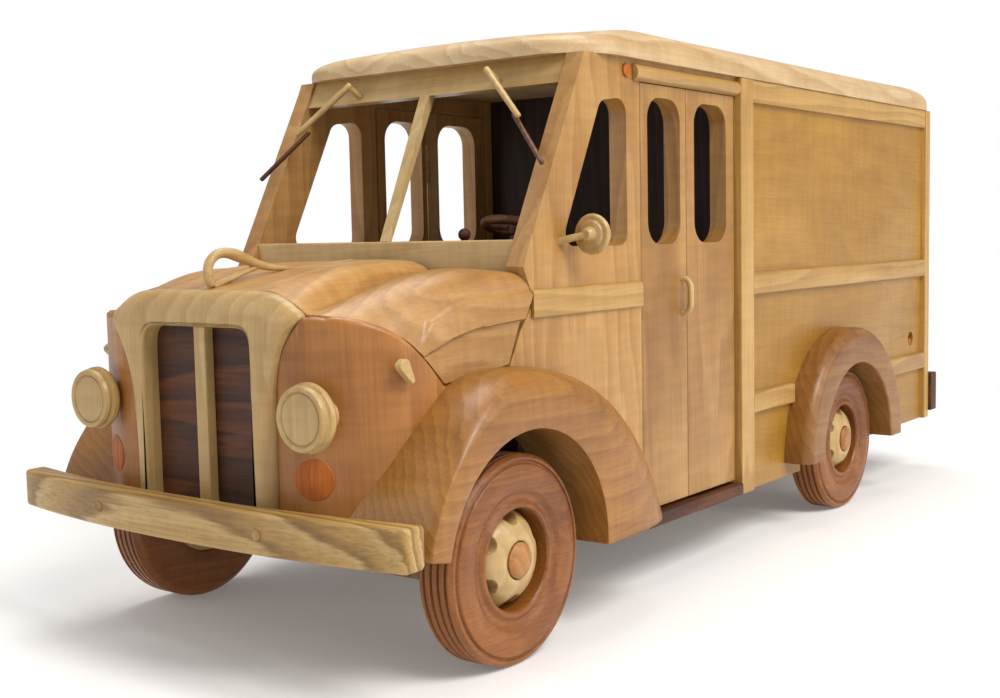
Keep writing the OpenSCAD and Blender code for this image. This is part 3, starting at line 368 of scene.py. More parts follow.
class Graph:
    """Small builder for the nodes of one material."""

    def __init__(self, name: str) -> None:
        """Start an empty material.

        Args:
            name: Name of the material.
        """
        self.material = bpy.data.materials.new(name)
        self.material.use_nodes = True
        self.tree = self.material.node_tree
        self.tree.nodes.clear()

    def add(self, kind: str, inputs: dict, out: int | str = 0, **settings) -> bpy.types.NodeSocket:
        """Add a node, set or link its inputs and give back one of its outputs.

        Args:
            kind: Node type without its ShaderNode prefix.
            inputs: Value or socket for each input, by index or name.
            out: Output to return.
            settings: Properties of the node.

        Returns:
            The chosen output socket.
        """
        node = self.tree.nodes.new("ShaderNode" + kind)
        for key, value in settings.items():
            setattr(node, key, value)
        for key, value in inputs.items():
            if isinstance(value, bpy.types.NodeSocket):
                self.tree.links.new(value, node.inputs[key])
            else:
                node.inputs[key].default_value = value
        return node.outputs[out]

    def finish(self, surface: bpy.types.NodeSocket) -> bpy.types.Material:
        """Link a surface shader to the material's output.

        Args:
            surface: The surface shader.

        Returns:
            The finished material.
        """
        end = self.tree.nodes.new("ShaderNodeOutputMaterial")
        self.tree.links.new(surface, end.inputs["Surface"])
        return self.material

    def math(self, operation: str, a, b=0.0) -> bpy.types.NodeSocket:
        """Arithmetic on two values.

        Args:
            operation: Name of the operation.
            a: First value or socket.
            b: Second value or socket.

        Returns:
            The result.
        """
        return self.add("Math", {0: a, 1: b}, operation=operation)

    def mix(self, share, a, b, blend: str = "MIX") -> bpy.types.NodeSocket:
        """Blend two colours.

        Args:
            share: Share of the second colour.
            a: First colour or socket.
            b: Second colour or socket.
            blend: Name of the blend.

        Returns:
            The blended colour.
        """
        return self.add("Mix", {0: share, 6: a, 7: b}, 2, data_type="RGBA", blend_type=blend)

    def ramp(self, value, stops: Sequence[tuple[float, tuple]]) -> bpy.types.NodeSocket:
        """Colour from a value by a ramp that eases between its stops.

        Args:
            value: Socket that drives the ramp.
            stops: Pairs of place and colour.

        Returns:
            The colour.
        """
        out = self.add("ValToRGB", {0: value})
        ramp = out.node.color_ramp
        ramp.interpolation = "EASE"
        for k, (place, colour) in enumerate(stops):
            stop = ramp.elements[k] if k < 2 else ramp.elements.new(place)
            stop.position, stop.color = place, colour
        return out

    def noise(self, point, scale: float, detail: float = 2.0, out: int | str = 0) -> bpy.types.NodeSocket:
        """Soft random pattern.

        Args:
            point: Vector socket.
            scale: Waves per unit of the vector.
            detail: Number of finer layers.
            out: Output, 0 for the value and 1 for the colour.

        Returns:
            The chosen output.
        """
        inputs = {"Vector": point, "Scale": scale, "Detail": detail, "Roughness": 0.55}
        return self.add("TexNoise", inputs, out)


@dataclass(frozen=True)
class Wood:
    """A kind of wood under a thin oil finish, with its pattern sizes in millimetres.

    Attributes:
        name: The real wood and its finish.
        light: Colour of the early wood.
        base: Middle colour.
        dark: Colour of the late wood.
        ring: Spacing of the growth rings across a board.
        strength: How strongly the rings show.
        warp: How far the rings wander.
        fibre: Strength of the fine streaks.
        pores: Share of the face taken by small dark pores.
        figure: Strength of the shimmer across the grain.
        blotch: Strength of the wide cloudy patches.
        rough: Roughness of the finish.
        coat: Strength of the clear film over it.
        streak: Length of a cloudy patch along the grain against its width.
    """

    name: str
    light: str
    base: str
    dark: str
    ring: float = 4.0
    strength: float = 0.5
    warp: float = 5.0
    fibre: float = 0.12
    pores: float = 0.0
    figure: float = 0.05
    blotch: float = 0.10
    rough: float = 0.42
    coat: float = 0.10
    streak: float = 3.0

    def material(self, piece: str, grain: Grain) -> bpy.types.Material:
        """Material for one piece, cut from its own place in the log.

        Args:
            piece: Name of the piece, which picks the place and a slight change of tone.
            grain: Direction of the fibres.

        Returns:
            The material.
        """
        seed = zlib.crc32(piece.encode())
        pick = np.random.default_rng(seed).random(8)
        g = Graph(self.name)
        place = g.add("TexCoord", {}, "Object")
        turn = [math.radians(v) for v in grain.value]
        turn[0] += math.radians(5.0 * (pick[0] - 0.5))
        turn[1] += math.radians(5.0 * (pick[1] - 0.5))
        turned = g.add("Mapping", {"Vector": place, "Rotation": turn, "Scale": (1000.0,) * 3})
        shift = (55 + 60 * pick[2], 40 * (pick[3] - 0.5), 600 * pick[4])
        p = g.add("VectorMath", {0: turned, 1: shift}, operation="ADD")

        def stretched(across: float, along: float) -> bpy.types.NodeSocket:
            """Place in the log, scaled across and along the grain."""
            return g.add("VectorMath", {0: p, 1: (across, across, along)}, operation="MULTIPLY")

        def grey(value: float) -> tuple[float, float, float, float]:
            """A grey that scales a colour by the value."""
            return value, value, value, 1.0

        wander = g.noise(stretched(0.022, 0.0045), 1.0, 2.5, out=1)
        centred = g.add("VectorMath", {0: wander, 1: (0.5, 0.5, 0.5)}, operation="SUBTRACT")
        reach = (6 * self.warp, 6 * self.warp, 0.0)
        moved = g.add("VectorMath", {0: centred, 1: reach, 2: p}, operation="MULTIPLY_ADD")
        flat = g.add("VectorMath", {0: moved, 1: (1.0, 1.0, 0.0)}, operation="MULTIPLY")
        radius = g.add("VectorMath", {0: flat}, "Value", operation="LENGTH")
        fine = g.noise(stretched(0.5, 0.02), 1.0, 3.0)
        rings = g.math("DIVIDE", radius, self.ring)
        rings = g.math("ADD", rings, g.math("MULTIPLY", fine, 0.5))
        phase = g.math("FRACT", rings)
        light, base, dark = linear(self.light), linear(self.base), linear(self.dark)
        ring = g.ramp(phase, [(0.0, light), (0.35, base), (0.82, dark), (1.0, light)])
        wide = g.noise(stretched(0.025, 0.025 / self.streak), 1.0, 3.0)
        cloud = g.ramp(wide, [(0.30, dark), (0.5, base), (0.72, light)])
        colour = g.mix(self.strength, cloud, ring)
        streak = g.noise(stretched(1.5, 0.035), 1.0, 4.0)
        tone = g.ramp(streak, [(0.32, grey(1 - self.fibre)), (0.62, grey(1 + 0.4 * self.fibre))])
        colour = g.mix(1.0, colour, tone, "MULTIPLY")
        patch = g.noise(stretched(0.012, 0.009), 1.0, 1.5)
        low, high = 1 - self.blotch, 1 + 0.5 * self.blotch
        tone = g.ramp(patch, [(0.32, (low, low * 0.97, low * 0.92, 1)), (0.68, grey(high))])
        colour = g.mix(1.0, colour, tone, "MULTIPLY")
        curl = g.noise(stretched(0.05, 0.28), 1.0, 1.0)
        tone = g.ramp(curl, [(0.35, grey(1 - self.figure)), (0.65, grey(1 + self.figure * 0.6))])
        colour = g.mix(1.0, colour, tone, "MULTIPLY")
        if self.pores > 0:
            dot = g.noise(stretched(2.6, 0.16), 1.0, 2.0)
            mask = g.add("MapRange", {0: dot, 1: 0.60, 2: 0.70, 3: 0.0, 4: self.pores})
            colour = g.mix(mask, colour, tuple(0.45 * c for c in dark[:3]) + (1.0,))
        hue = 0.93 + 0.12 * pick[5]
        colour = g.mix(1.0, colour, (hue, hue * (0.985 + 0.03 * pick[6]), hue, 1.0), "MULTIPLY")
        rough = g.add("MapRange", {0: streak, 1: 0.3, 2: 0.7, 3: self.rough + 0.05, 4: self.rough - 0.04})
        bump = g.add("Bump", {"Strength": 0.25, "Distance": 0.00006, "Height": streak})
        surface = g.add("BsdfPrincipled", {
            "Base Color": colour, "Roughness": rough, "Normal": bump, "IOR": 1.46,
            "Coat Weight": self.coat, "Coat Roughness": 0.28})
        return g.finish(surface)


@dataclass(frozen=True)
class Metal:
    """A plain metal.

    Attributes:
        name: The real metal.
        base: Its colour.
        rough: Its roughness.
    """

    name: str
    base: str
    rough: float

    def material(self, piece: str, grain: Grain) -> bpy.types.Material:
        """Material for one piece.

        Args:
            piece: Name of the piece; not needed by a plain metal.
            grain: Not needed by a plain metal.

        Returns:
            The material.
        """
        g = Graph(self.name)
        return g.finish(g.add("BsdfPrincipled", {"Base Color": linear(self.base), "Metallic": 1.0,
                                                 "Roughness": self.rough}))


FINISHES: dict[str, Wood | Metal] = {
    # Sawn maple inside the body, left plain; its colours are also darkened as painted shade of the interior
    "maple_rough": Wood("sawn maple, oiled", "#9A7D55", "#84643C", "#6A4D2B", ring=4.5, rough=0.6,
                        coat=0.0),
    # Birch dowel of the axles
    "dowel_birch": Wood("birch dowel, oiled", "#B79563", "#A27A47", "#855F32", ring=3.0, strength=0.4,
                        rough=0.55, coat=0.0),
    # Cherry of the nose cheeks and the wheel caps
    "cherry": Wood("black cherry, oiled", "#B48046", "#A26A32", "#855020", ring=5.5, strength=0.42,
                   warp=7, fibre=0.10, pores=0.12, figure=0.08, blotch=0.12),
    # Hard maple of the grille surround, hubs, bars and mirrors
    "maple": Wood("hard maple, oiled", "#C4AA79", "#B99962", "#A58149", ring=4.5, strength=0.35,
                  fibre=0.08, blotch=0.07, rough=0.38, coat=0.14),
    # Walnut of the grille, steps and rear bumper
    "walnut": Wood("black walnut, oiled", "#643416", "#47230F", "#2A1307", ring=6.0, strength=0.75,
                   warp=9, fibre=0.22, pores=0.5, figure=0.06, blotch=0.2, rough=0.55, coat=0.0),
    # Padauk of the turn lamps and markers
    "padauk": Wood("padauk, oiled", "#C46C08", "#B05A04", "#8A4402", ring=2.6, strength=0.4, warp=3,
                   fibre=0.16, pores=0.5, rough=0.55, coat=0.0),
    # Ash of the front bumper
    "ash": Wood("white ash, oiled", "#BA9B65", "#A88448", "#785525", ring=3.2, strength=0.78, warp=3,
                fibre=0.16, pores=0.4, figure=0.04),
    # Alder of the hood, cab and doors
    "alder": Wood("red alder, oiled", "#B68E56", "#A97C42", "#91642D", ring=6.0, strength=0.40, warp=8,
                  fibre=0.09, pores=0.06, figure=0.07, blotch=0.12, rough=0.40, coat=0.12),
    # Darker cherry of the fenders
    "cherry_fender": Wood("steamed cherry, oiled", "#A37635", "#956329", "#7A4C1B", ring=3.0,
                          strength=0.34, warp=4, pores=0.10, figure=0.08, blotch=0.16, rough=0.4,
                          coat=0.12),
    # Boards inside the body, coloured near black as painted shade of the unlit interior
    "dark_board": Wood("stained alder", "#462914", "#2E190A", "#1C0C05", ring=5.0, rough=0.6, coat=0.0),
    # Walnut dowel
    "dowel_walnut": Wood("walnut dowel, oiled", "#7D4E2B", "#643A1B", "#44240E", ring=2.5, warp=2,
                         fibre=0.15, pores=0.3),
    # Brass of the hinge pins
    "brass": Metal("brass", "#B9985A", 0.35),
    # Birch of the box sides
    "birch_panel": Wood("flame birch, oiled", "#AA8036", "#9F7427", "#926720", ring=14.0, strength=0.25,
                        warp=16, fibre=0.07, figure=0.06, blotch=0.09, rough=0.4, coat=0.12, streak=2.2),
    # Alder of the posts and mouldings
    "alder_rail": Wood("red alder moulding, oiled", "#BE9A60", "#B18A4B", "#976E33", strength=0.42,
                       warp=4, fibre=0.09, figure=0.04, blotch=0.08, rough=0.4, coat=0.12),
    # Maple of the roof and header
    "maple_roof": Wood("soft maple, oiled", "#C9B28D", "#BDA076", "#A68353", ring=6.5, strength=0.45,
                       warp=8, fibre=0.08),
    # Mahogany of the tyres
    "mahogany": Wood("mahogany, oiled", "#9C6128", "#8B521E", "#723D12", ring=2.6, strength=0.30, warp=3,
                     fibre=0.18, pores=0.40, figure=0.06, blotch=0.14, rough=0.44, coat=0.08),
}


def place(obj: bpy.types.Object, node: str, grain: Grain, slot: str | None = None) -> bpy.types.Object:
    """Give a piece its finish and its body, and let it stand for a CAD node.

    Args:
        obj: The piece.
        node: CAD node that it stands for.
        grain: Direction of its fibres.
        slot: Material slot, if not the node's own.

    Returns:
        The piece.
    """
    slot = slot or slot_of(node)
    obj.data.materials.clear()
    obj.data.materials.append(FINISHES[slot].material(obj.name, grain))
    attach(obj, body_of(node))
    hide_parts(node)
    LOG.info("%s stands for %s", obj.name, node)
    return obj


def eased_copy(node: str, width: float, segments: int = 2, angle: float = 30.0) -> bpy.types.Object:
    """Copy of a CAD node with its flat faces joined and its edges eased.

    Args:
        node: CAD node.
        width: Width of the easing in millimetres.
        segments: Faces across the easing.
        angle: Angle in degrees past which an edge is eased.

    Returns:
        The new object.
    """
    mesh = frame["nodes"][node].data.copy()
    mesh.materials.clear()
    bm = bmesh.new()
    bm.from_mesh(mesh)
    bmesh.ops.remove_doubles(bm, verts=bm.verts, dist=MERGE)
    bmesh.ops.dissolve_limit(bm, angle_limit=math.radians(0.6), verts=bm.verts, edges=bm.edges)
    bmesh.ops.recalc_face_normals(bm, faces=bm.faces)
    bm.to_mesh(mesh)
    bm.free()
    mesh.polygons.foreach_set("use_smooth", np.ones(len(mesh.polygons), bool))
    mesh.set_sharp_from_angle(angle=math.radians(angle))
    obj = bpy.data.objects.new(node + "_eased", mesh)
    bpy.context.scene.collection.objects.link(obj)
    bevel = obj.modifiers.new("eased edges", "BEVEL")
    bevel.width = width * MM
    bevel.segments = segments
    bevel.limit_method = "ANGLE"
    bevel.angle_limit = math.radians(angle)
    bevel.use_clamp_overlap = True
    bevel.harden_normals = True
    return obj


# ---------------------------------------------------------------- pieces
@dataclass
class Boards:
    """Flat sawn pieces whose edges are only eased.

    Attributes:
        easing: Width of the usual easing in millimetres.
        fine: Width of the easing on thin pieces.
        cab_belt: Share of the usual proudness that the belt keeps along the cab.
        belt_start: Where the belt begins behind the front axle.
    """

    easing: float = 0.45
    fine: float = 0.2
    cab_belt: float = 0.55
    belt_start: float = 24.3

    def build(self) -> list[bpy.types.Object]:
        """Ease and finish every board.

        Returns:
            The finished pieces.
        """
        upright = ["cab_side_left", "cab_side_right", "front_leaf_left", "front_leaf_right",
                   "rear_leaf_left", "rear_leaf_right", "bulkhead", "rear_door_left", "rear_door_right",
                   "firewall", "seat", "side_posts", "grille_bar"]
        along = ["chassis", "box_side_left", "box_side_right", "steps"]
        across = ["rear_frame", "rear_bumper", "windshield_header"]
        groups = [(upright, Grain.Z, self.easing), (along, Grain.Y, self.easing),
                  (across, Grain.X, self.easing), (["windshield_post"], Grain.Z, self.fine),
                  (["bumper_dowels"], Grain.Y, self.fine), (["steering_column"], Grain.Z, self.fine),
                  (["side_pegs", "grille_panel"], Grain.X, self.fine)]
        made = [place(eased_copy(node, width), node, grain)
                for names, grain, width in groups for node in names]
        mouldings = eased_copy("side_mouldings", self.easing)
        flat = np.zeros(3 * len(mouldings.data.vertices))
        mouldings.data.vertices.foreach_get("co", flat)
        p = flat.reshape(-1, 3) / MM
        on_cab = (p[:, 1] < AXLE_Y + 92) & (p[:, 2] < 115) & (np.abs(p[:, 0]) > HALF_W)
        p[on_cab, 0] = np.sign(p[on_cab, 0]) * (HALF_W + (np.abs(p[on_cab, 0]) - HALF_W) * self.cab_belt)
        first = (p[:, 1] < AXLE_Y + 32) & (p[:, 2] < 115)
        p[first, 1] = AXLE_Y + self.belt_start
        mouldings.data.vertices.foreach_set("co", (p * MM).ravel())
        made.append(place(mouldings, "side_mouldings", Grain.Y))
        made.append(place(self.cowl(), "cowl_bar", Grain.X))
        return made

    def cowl(self) -> bpy.types.Object:
        """Cowl bar under the windshield with an apron that reaches down behind the hood.

        Returns:
            The piece.
        """
        section = rounded_path([(24.5, 108.5, 0.3), (31.1, 108.5, 0.3), (31.1, 127.5, 0.6),
                                (25.1, 127.5, 0.6)], 4)
        x = np.linspace(-INNER_X, INNER_X, 3)[:, None]
        grid = np.stack(np.broadcast_arrays(x, section[None, :, 0], section[None, :, 1]), axis=2)
        return grid_object("cowl_bar_planed", grid, wrap_v=True, caps=True)


@dataclass
class Wheel:
    """One wheel: a turned tyre and a domed hub with scooped notches, whose well leaves room for the cap on the
    axle's end.

    Attributes:
        end: front or rear.
        side: left or right.
        radius: Tyre radius in millimetres.
        width: Tyre width.
        rim: Radius of the hub's seat.
        notches: Number of scoops round the hub.
        scoop: Radius of a scoop.
        deep: Depth of a scoop under the hub's face.
        cap: Radius of the cap.
    """

    end: str
    side: str
    radius: float = 32.0
    width: float = 15.4
    rim: float = 15.5
    notches: int = 6
    scoop: float = 2.75
    deep: float = 13.2
    cap: float = 5.5

    def profile(self) -> np.ndarray:
        """Outline of the tyre as (radius, height) pairs, the outer face at the full width.

        Returns:
            The closed outline.
        """
        r, s, w = self.radius, self.rim, self.width
        corners = [(s, 0.8, 0.3), (s + 3, 0, 1), (r - 7, 0, 2), (r - 2, 1.2, 2.2), (r, 3.2, 1.2)]
        for k in range(1, 5):
            x = w * (0.12 + 0.17 * k)
            corners += [(r, x - 0.55, 0.12), (r - 1.1, x - 0.2, 0.1), (r - 1.1, x + 0.2, 0.1),
                        (r, x + 0.55, 0.12)]
        corners += [(r, w - 2.0, 0.9), (r - 1.1, w - 0.75, 0.5), (r - 1.9, w - 0.7, 0.25),
                    (r - 2.2, w - 1.35, 0.2), (r - 2.7, w - 1.3, 0.2), (r - 3.2, w - 0.35, 0.8),
                    (r - 6.5, w, 4), (r - 10.5, w - 0.55, 2), (r - 12.2, w - 1.7, 1.5),
                    (r - 13.6, w - 1.75, 1.0), (s + 1.6, w - 0.75, 0.5), (s + 0.5, w - 0.75, 0.4),
                    (s, w - 1.5, 0.2)]
        return rounded_path(corners, 5)

    def hub_grid(self, turns: int = 288) -> np.ndarray:
        """Points of the hub as (radius, height) per angle: a dome, lowered smoothly inside each scoop.

        Args:
            turns: Points round the axle.

        Returns:
            Array of shape (turns, points, 2).
        """
        front, s = self.width - 0.4, self.rim
        knots = [(s, front - 13.6), (s - 0.1, front - 9.8), (s - 0.6, front - 6.6), (s - 1.8, front - 4.4),
                 (s - 3.8, front - 2.2), (s - 6.2, front - 0.8), (self.cap + 1.9, front - 0.05),
                 (self.cap + 0.7, front)]
        dome = even(through(knots, 90), 64)
        well = np.array([(self.cap + 0.35, front - 0.25), (self.cap + 0.3, front - 2.9), (3.3, front - 2.9),
                         (3.3, 1.0), (s - 0.3, 1.0), (s, 1.4)])
        outline = np.concatenate([dome, well])
        angle = np.linspace(0, 2 * math.pi, turns, endpoint=False)[:, None]
        r = np.broadcast_to(outline[:, 0], (turns, len(outline)))
        pitch = 2 * math.pi / self.notches
        local = (angle % pitch) - pitch / 2
        gap = np.hypot(r * np.cos(local) - (s - 1.7), r * np.sin(local))
        inside = 1 - smoothstep((gap - self.scoop) / 0.4)
        h = np.broadcast_to(outline[:, 1], r.shape)
        top = (np.arange(len(outline)) < len(dome))[None, :]
        lowered = np.where(top, np.minimum(h, front - self.deep), h)
        return np.stack([r, h + (lowered - h) * inside], axis=2)

    def build(self) -> list[bpy.types.Object]:
        """Make the tyre and hub of this wheel.

        Returns:
            The pieces.
        """
        sign = SIDES[self.side]
        tag = f"{self.end}_{self.side}"
        low, high = box_mm("tyre_" + tag)
        inner = low[0] if sign > 0 else high[0]
        y = float((low[1] + high[1]) / 2) - AXLE_Y
        centre, axis = (inner, y, AXLE_Z), (sign, 0.0, 0.0)
        tyre = lathe(f"tyre_{tag}_turned", self.profile(), centre, axis, 144, 30.0, closed=True)
        grid = self.hub_grid()
        angle = np.linspace(0, 2 * math.pi, len(grid), endpoint=False)[:, None]
        r, h = grid[:, :, 0], grid[:, :, 1]
        points = np.stack([inner + sign * h, y + r * np.cos(angle), AXLE_Z + r * np.sin(angle)], axis=2)
        hub = grid_object(f"hub_{tag}_turned", points, True, True, sharp=42)
        return [place(tyre, "tyre_" + tag, Grain.Y), place(hub, "hub_" + tag, Grain.Z)]


@dataclass
class Caps:
    """Axle caps, turned with a slight dome.

    Attributes:
        radius: Radius of a cap in millimetres.
        depth: Its length along the axle.
    """

    radius: float = 5.5
    depth: float = 4.2

    def build(self) -> list[bpy.types.Object]:
        """Make the four caps.

        Returns:
            The pieces.
        """
        made = []
        r, d = self.radius, self.depth
        arc = np.linspace(0, math.pi / 2, 10)
        sine = np.sin(arc)[::-1]
        dome = np.stack([(r - 1.1) + 1.1 * sine, d - 1.5 + 0.9 * (1 - sine)], axis=1)
        face = [(r * 0.6, d - 0.25), (r * 0.3, d - 0.05), (0, d)]
        profile = np.concatenate([[(0, 0), (r, 0)], dome, face])
        for end in ("front", "rear"):
            for side, sign in SIDES.items():
                low, high = box_mm(f"tyre_{end}_{side}")
                face = high[0] if sign > 0 else low[0]
                y = float((low[1] + high[1]) / 2) - AXLE_Y
                centre = (face + sign * (1.4 - d), y, AXLE_Z)
                cap = lathe(f"axle_cap_{end}_{side}", profile, centre, (sign, 0, 0), 48)
                made.append(place(cap, "axle_caps", Grain.X))
        return made


@dataclass
class Roof:
    """Roof board: a rounded plan, a soft edge all round and a low crown that dips towards the front.

    Attributes:
        crown: How much higher the middle is than the sides, in millimetres.
        edge: Width of the rounded edge.
        corner_front: Plan radius of the front corners.
        corner_rear: Plan radius of the rear corners.
        wall: Height of the upright edge under the rounding.
    """

    crown: float = 2.4
    edge: float = 11.0
    corner_front: float = 22.0
    corner_rear: float = 9.0
    wall: float = 2.6

    def build(self) -> list[bpy.types.Object]:
        """Make the roof.

        Each ring is the outline drawn in towards a spine down the middle. Height over the joint is the wall
        plus the rest times one less (one less the distance in over the edge width) to the power 2.3, to the
        power 1 over 2.3.

        Returns:
            The pieces.
        """
        low, high = box_mm("roof")
        front, rear = low[1] - AXLE_Y, high[1] - AXLE_Y
        x = high[0]
        plan = rounded_path([(x, front, self.corner_front), (x, rear, self.corner_rear),
                             (-x, rear, self.corner_rear), (-x, front, self.corner_front)], 16)
        plan = even(np.concatenate([plan, plan[:1]]), 481)[:-1]
        spine = np.stack([np.zeros(len(plan)), np.clip(plan[:, 1], front + x, rear - x)], axis=1)
        reach = np.linalg.norm(plan - spine, axis=1)
        inset = np.concatenate([self.edge * (1 - np.cos(np.linspace(0, math.pi / 2, 16))) / x,
                                np.linspace(self.edge / x, 1.0, 22)[1:]])
        share = 1 - inset[:, None, None]
        flat = spine[None] + (plan - spine)[None] * share
        depth = inset[:, None] * reach[None]
        rise = (1 - (1 - np.clip(depth / self.edge, 0, 1)) ** 2.3) ** (1 / 2.3)
        top = high[2] - self.crown * (flat[:, :, 0] / x) ** 2
        top = top - 4.6 * (1 - smoothstep((flat[:, :, 1] - front) / 46))
        top = top - 1.6 * smoothstep((flat[:, :, 1] - rear + 26) / 26)
        base = low[2] + self.wall
        z = base + (top - base) * rise
        upper = np.concatenate([flat, z[:, :, None]], axis=2)
        skirt = np.concatenate([plan, np.full((len(plan), 1), low[2])], axis=1)
        drawn = np.concatenate([spine + (plan - spine) * 0.97, np.full((len(plan), 1), low[2])], axis=1)
        grid = np.concatenate([drawn[None], skirt[None], upper])
        mesh = grid_object("roof_shaped", grid, wrap_v=True, sharp=50)
        close_loop(mesh)
        return [place(mesh, "roof", Grain.Y)]


def bumper_sweep(x: np.ndarray) -> np.ndarray:
    """How far the front bumper has swept back: 7.7 mm times the share of its half length to the power 2.2.

    Args:
        x: Distance from the middle in millimetres.

    Returns:
        The sweep in millimetres, same shape.
    """
    return 7.7 * (x / BUMPER_HALF) ** 2.2


def close_loop(obj: bpy.types.Object) -> None:
    """Close every open edge loop of a piece with faces.

    Args:
        obj: The piece.
    """
    bm = bmesh.new()
    bm.from_mesh(obj.data)
    open_edges = [e for e in bm.edges if e.is_boundary]
    bmesh.ops.holes_fill(bm, edges=open_edges, sides=0)
    face_outwards(bm)
    bm.to_mesh(obj.data)
    bm.free()


def nose_plan_curve(count: int = 400) -> np.ndarray:
    """Smooth plan of the nose from the grille round to the side, as (x, y) pairs.

    Args:
        count: Number of points.

    Returns:
        Points evenly spaced by length.
    """
    w = HALF_W
    knots = [(30, -51.4), (33.5, -53.3), (40, -53), (w - 18, -50), (w - 12, -46.6), (w - 6.4, -41),
             (w - 2.4, -34), (w, -26), (w, -17), (w, -8)]
    return even(through(knots, 800), count)


def hood_seam() -> np.ndarray:
    """Knots of the hood's front seam from the middle outwards, as (x, y, z).

    Returns:
        The knots.
    """
    w, f = HALF_W, -49.55
    return np.array([
        (0, f, 114.6), (12, f, 114.6), (22, f, 114.5), (29, f, 114.1), (36, f, 111.4), (42, f, 107.9),
        (w - 21, f + 1, 107.8), (w - 18, f + 3, 107.4), (w - 12, f + 7, 106.2), (w - 6.4, f + 12.5, 103.6),
        (w - 2.4, f + 18, 99.6), (w - 0.6, f + 23, 94.6), (w, f + 31, 86.4)])


@dataclass
class Hood:
    """Carved hood: a crown down the middle, a valley and a bulge each side, and a belt band on its flank.

    Attributes:
        thick: Thickness of the shell in millimetres.
        band: How far the band stands proud.
        rows: Points along the truck.
        crown_columns: Points over half of the crown.
        side_columns: Points from the valley to the lower edge.
    """

    thick: float = 5.0
    band: float = 1.7
    rows: int = 110
    crown_columns: int = 40
    side_columns: int = 130

    def rear_knots(self) -> np.ndarray:
        """Knots of the rear edge from the middle outwards, as (x, y, z).

        Returns:
            The knots, one for each knot of the seam.
        """
        w, r = HALF_W, 21.3
        return np.array([
            (0, r, 121.6), (10, r, 121.5), (18, r, 121.2), (24, r, 120.0), (28.5, r, 117.6), (31, r, 114.6),
            (38, r, 115.8), (47, r, 117.0), (w - 12, r, 117.5), (w - 3.0, r + 1.3, 116.6),
            (w - 0.1, r + 2.4, 111.6), (w, 17.4, 100), (w, 12.2, 89.2)])

    def half(self, drop: float) -> np.ndarray:
        """One half of the outer skin, or of the inner skin for a drop over 0.

        Both edges are joined column by column. The skin swells with the sine of the way along times a height
        for each column; a crown column and a side column meet in the valley with a crease. On the flank the
        band stands out between its lower and upper lines, which close on each other towards the front seam.

        Args:
            drop: Depth under the outer skin.

        Returns:
            Array of shape (rows, columns, 3).
        """
        front, rear = hood_seam(), self.rear_knots()
        swell = np.array([1.6, 1.8, 2.4, 3.4, 3.6, 0.0, 3.4, 5.6, 6.2, 5.2, 3.2, 1.2, 0.0])[:, None]
        parts = []
        for a, b, count in ((0, 6, self.crown_columns), (5, 13, self.side_columns)):
            parts.append([through(k[a:b], count) for k in (front, rear, np.repeat(swell, 3, axis=1))])
        front, rear, high = (np.concatenate([parts[0][k], parts[1][k][1:]]) for k in range(3))
        s = np.linspace(0, 1, self.rows)[:, None]
        rise = np.sin(math.pi * s)
        p = front[None] + (rear - front)[None] * s[:, :, None]
        x, y, z = p[:, :, 0].copy(), p[:, :, 1].copy(), p[:, :, 2] + rise * high[None, :, 0]
        columns = np.linspace(0, 1, len(front))[None, :]
        valley = self.crown_columns / len(front)
        x -= 3.4 * rise * np.exp(-((columns - valley) / 0.09) ** 2) * (x > 1)
        side = np.clip((x - 40) / (HALF_W - 42), 0, 1)
        back = smoothstep((y - 12) / 10)
        z -= 1.2 * back ** 3 * np.exp(-((x - 31) / 7) ** 2) * (x < 40)
        if drop == 0:
            low = np.interp(y, [-30, -27, -23, -15, -3.5, 21], [93.0, 94.6, 96.4, 99.1, 101.3, 102.4])
            high_line = np.interp(y, [-30, -27, -23, -13, -3.5, 21],
                                  [94.0, 99.4, 105.0, 109.0, 110.7, 111.6])
            out = smoothstep((z - low + 0.3) / 0.6) * (1 - smoothstep((z - high_line + 1.4) / 1.8))
            out *= smoothstep((x - 56) / 4) * smoothstep((y + 30) / 10)
            groove = np.exp(-((z - low) / 0.35) ** 2) * smoothstep((y + 30) / 6) * smoothstep((x - 58) / 3)
            x += self.band * out - 0.7 * groove
        x = x * (1 - drop * side ** 2 / HALF_W)
        z = z - drop * (1 - 0.75 * side ** 2)
        return np.stack([x, y, z], axis=2)

    def build(self) -> list[bpy.types.Object]:
        """Make the hood shell with its hinge lugs.

        Returns:
            The pieces.
        """
        def whole(half: np.ndarray) -> np.ndarray:
            """Both halves of a skin from its left half."""
            return np.concatenate([half[:, :0:-1] * np.array([-1.0, 1.0, 1.0]), half], axis=1)

        outer, inner = whole(self.half(0.0)), whole(self.half(self.thick))
        grid = np.concatenate([outer, inner[::-1]], axis=0)
        shell = grid_object("hood_carved", grid, wrap_u=True, sharp=40)
        close_loop(shell)
        made = [place(shell, "hood", Grain.Y)]
        for side, sign in SIDES.items():
            path, radius = capsule((sign * 12, 20.2, 117.5), (sign * 18, 20.2, 117.5), 2.9, 14)
            made.append(place(rod(f"hood_lug_{side}", path, radius, 24, up=(0, 0, 1)), "hood", Grain.X))
        return made


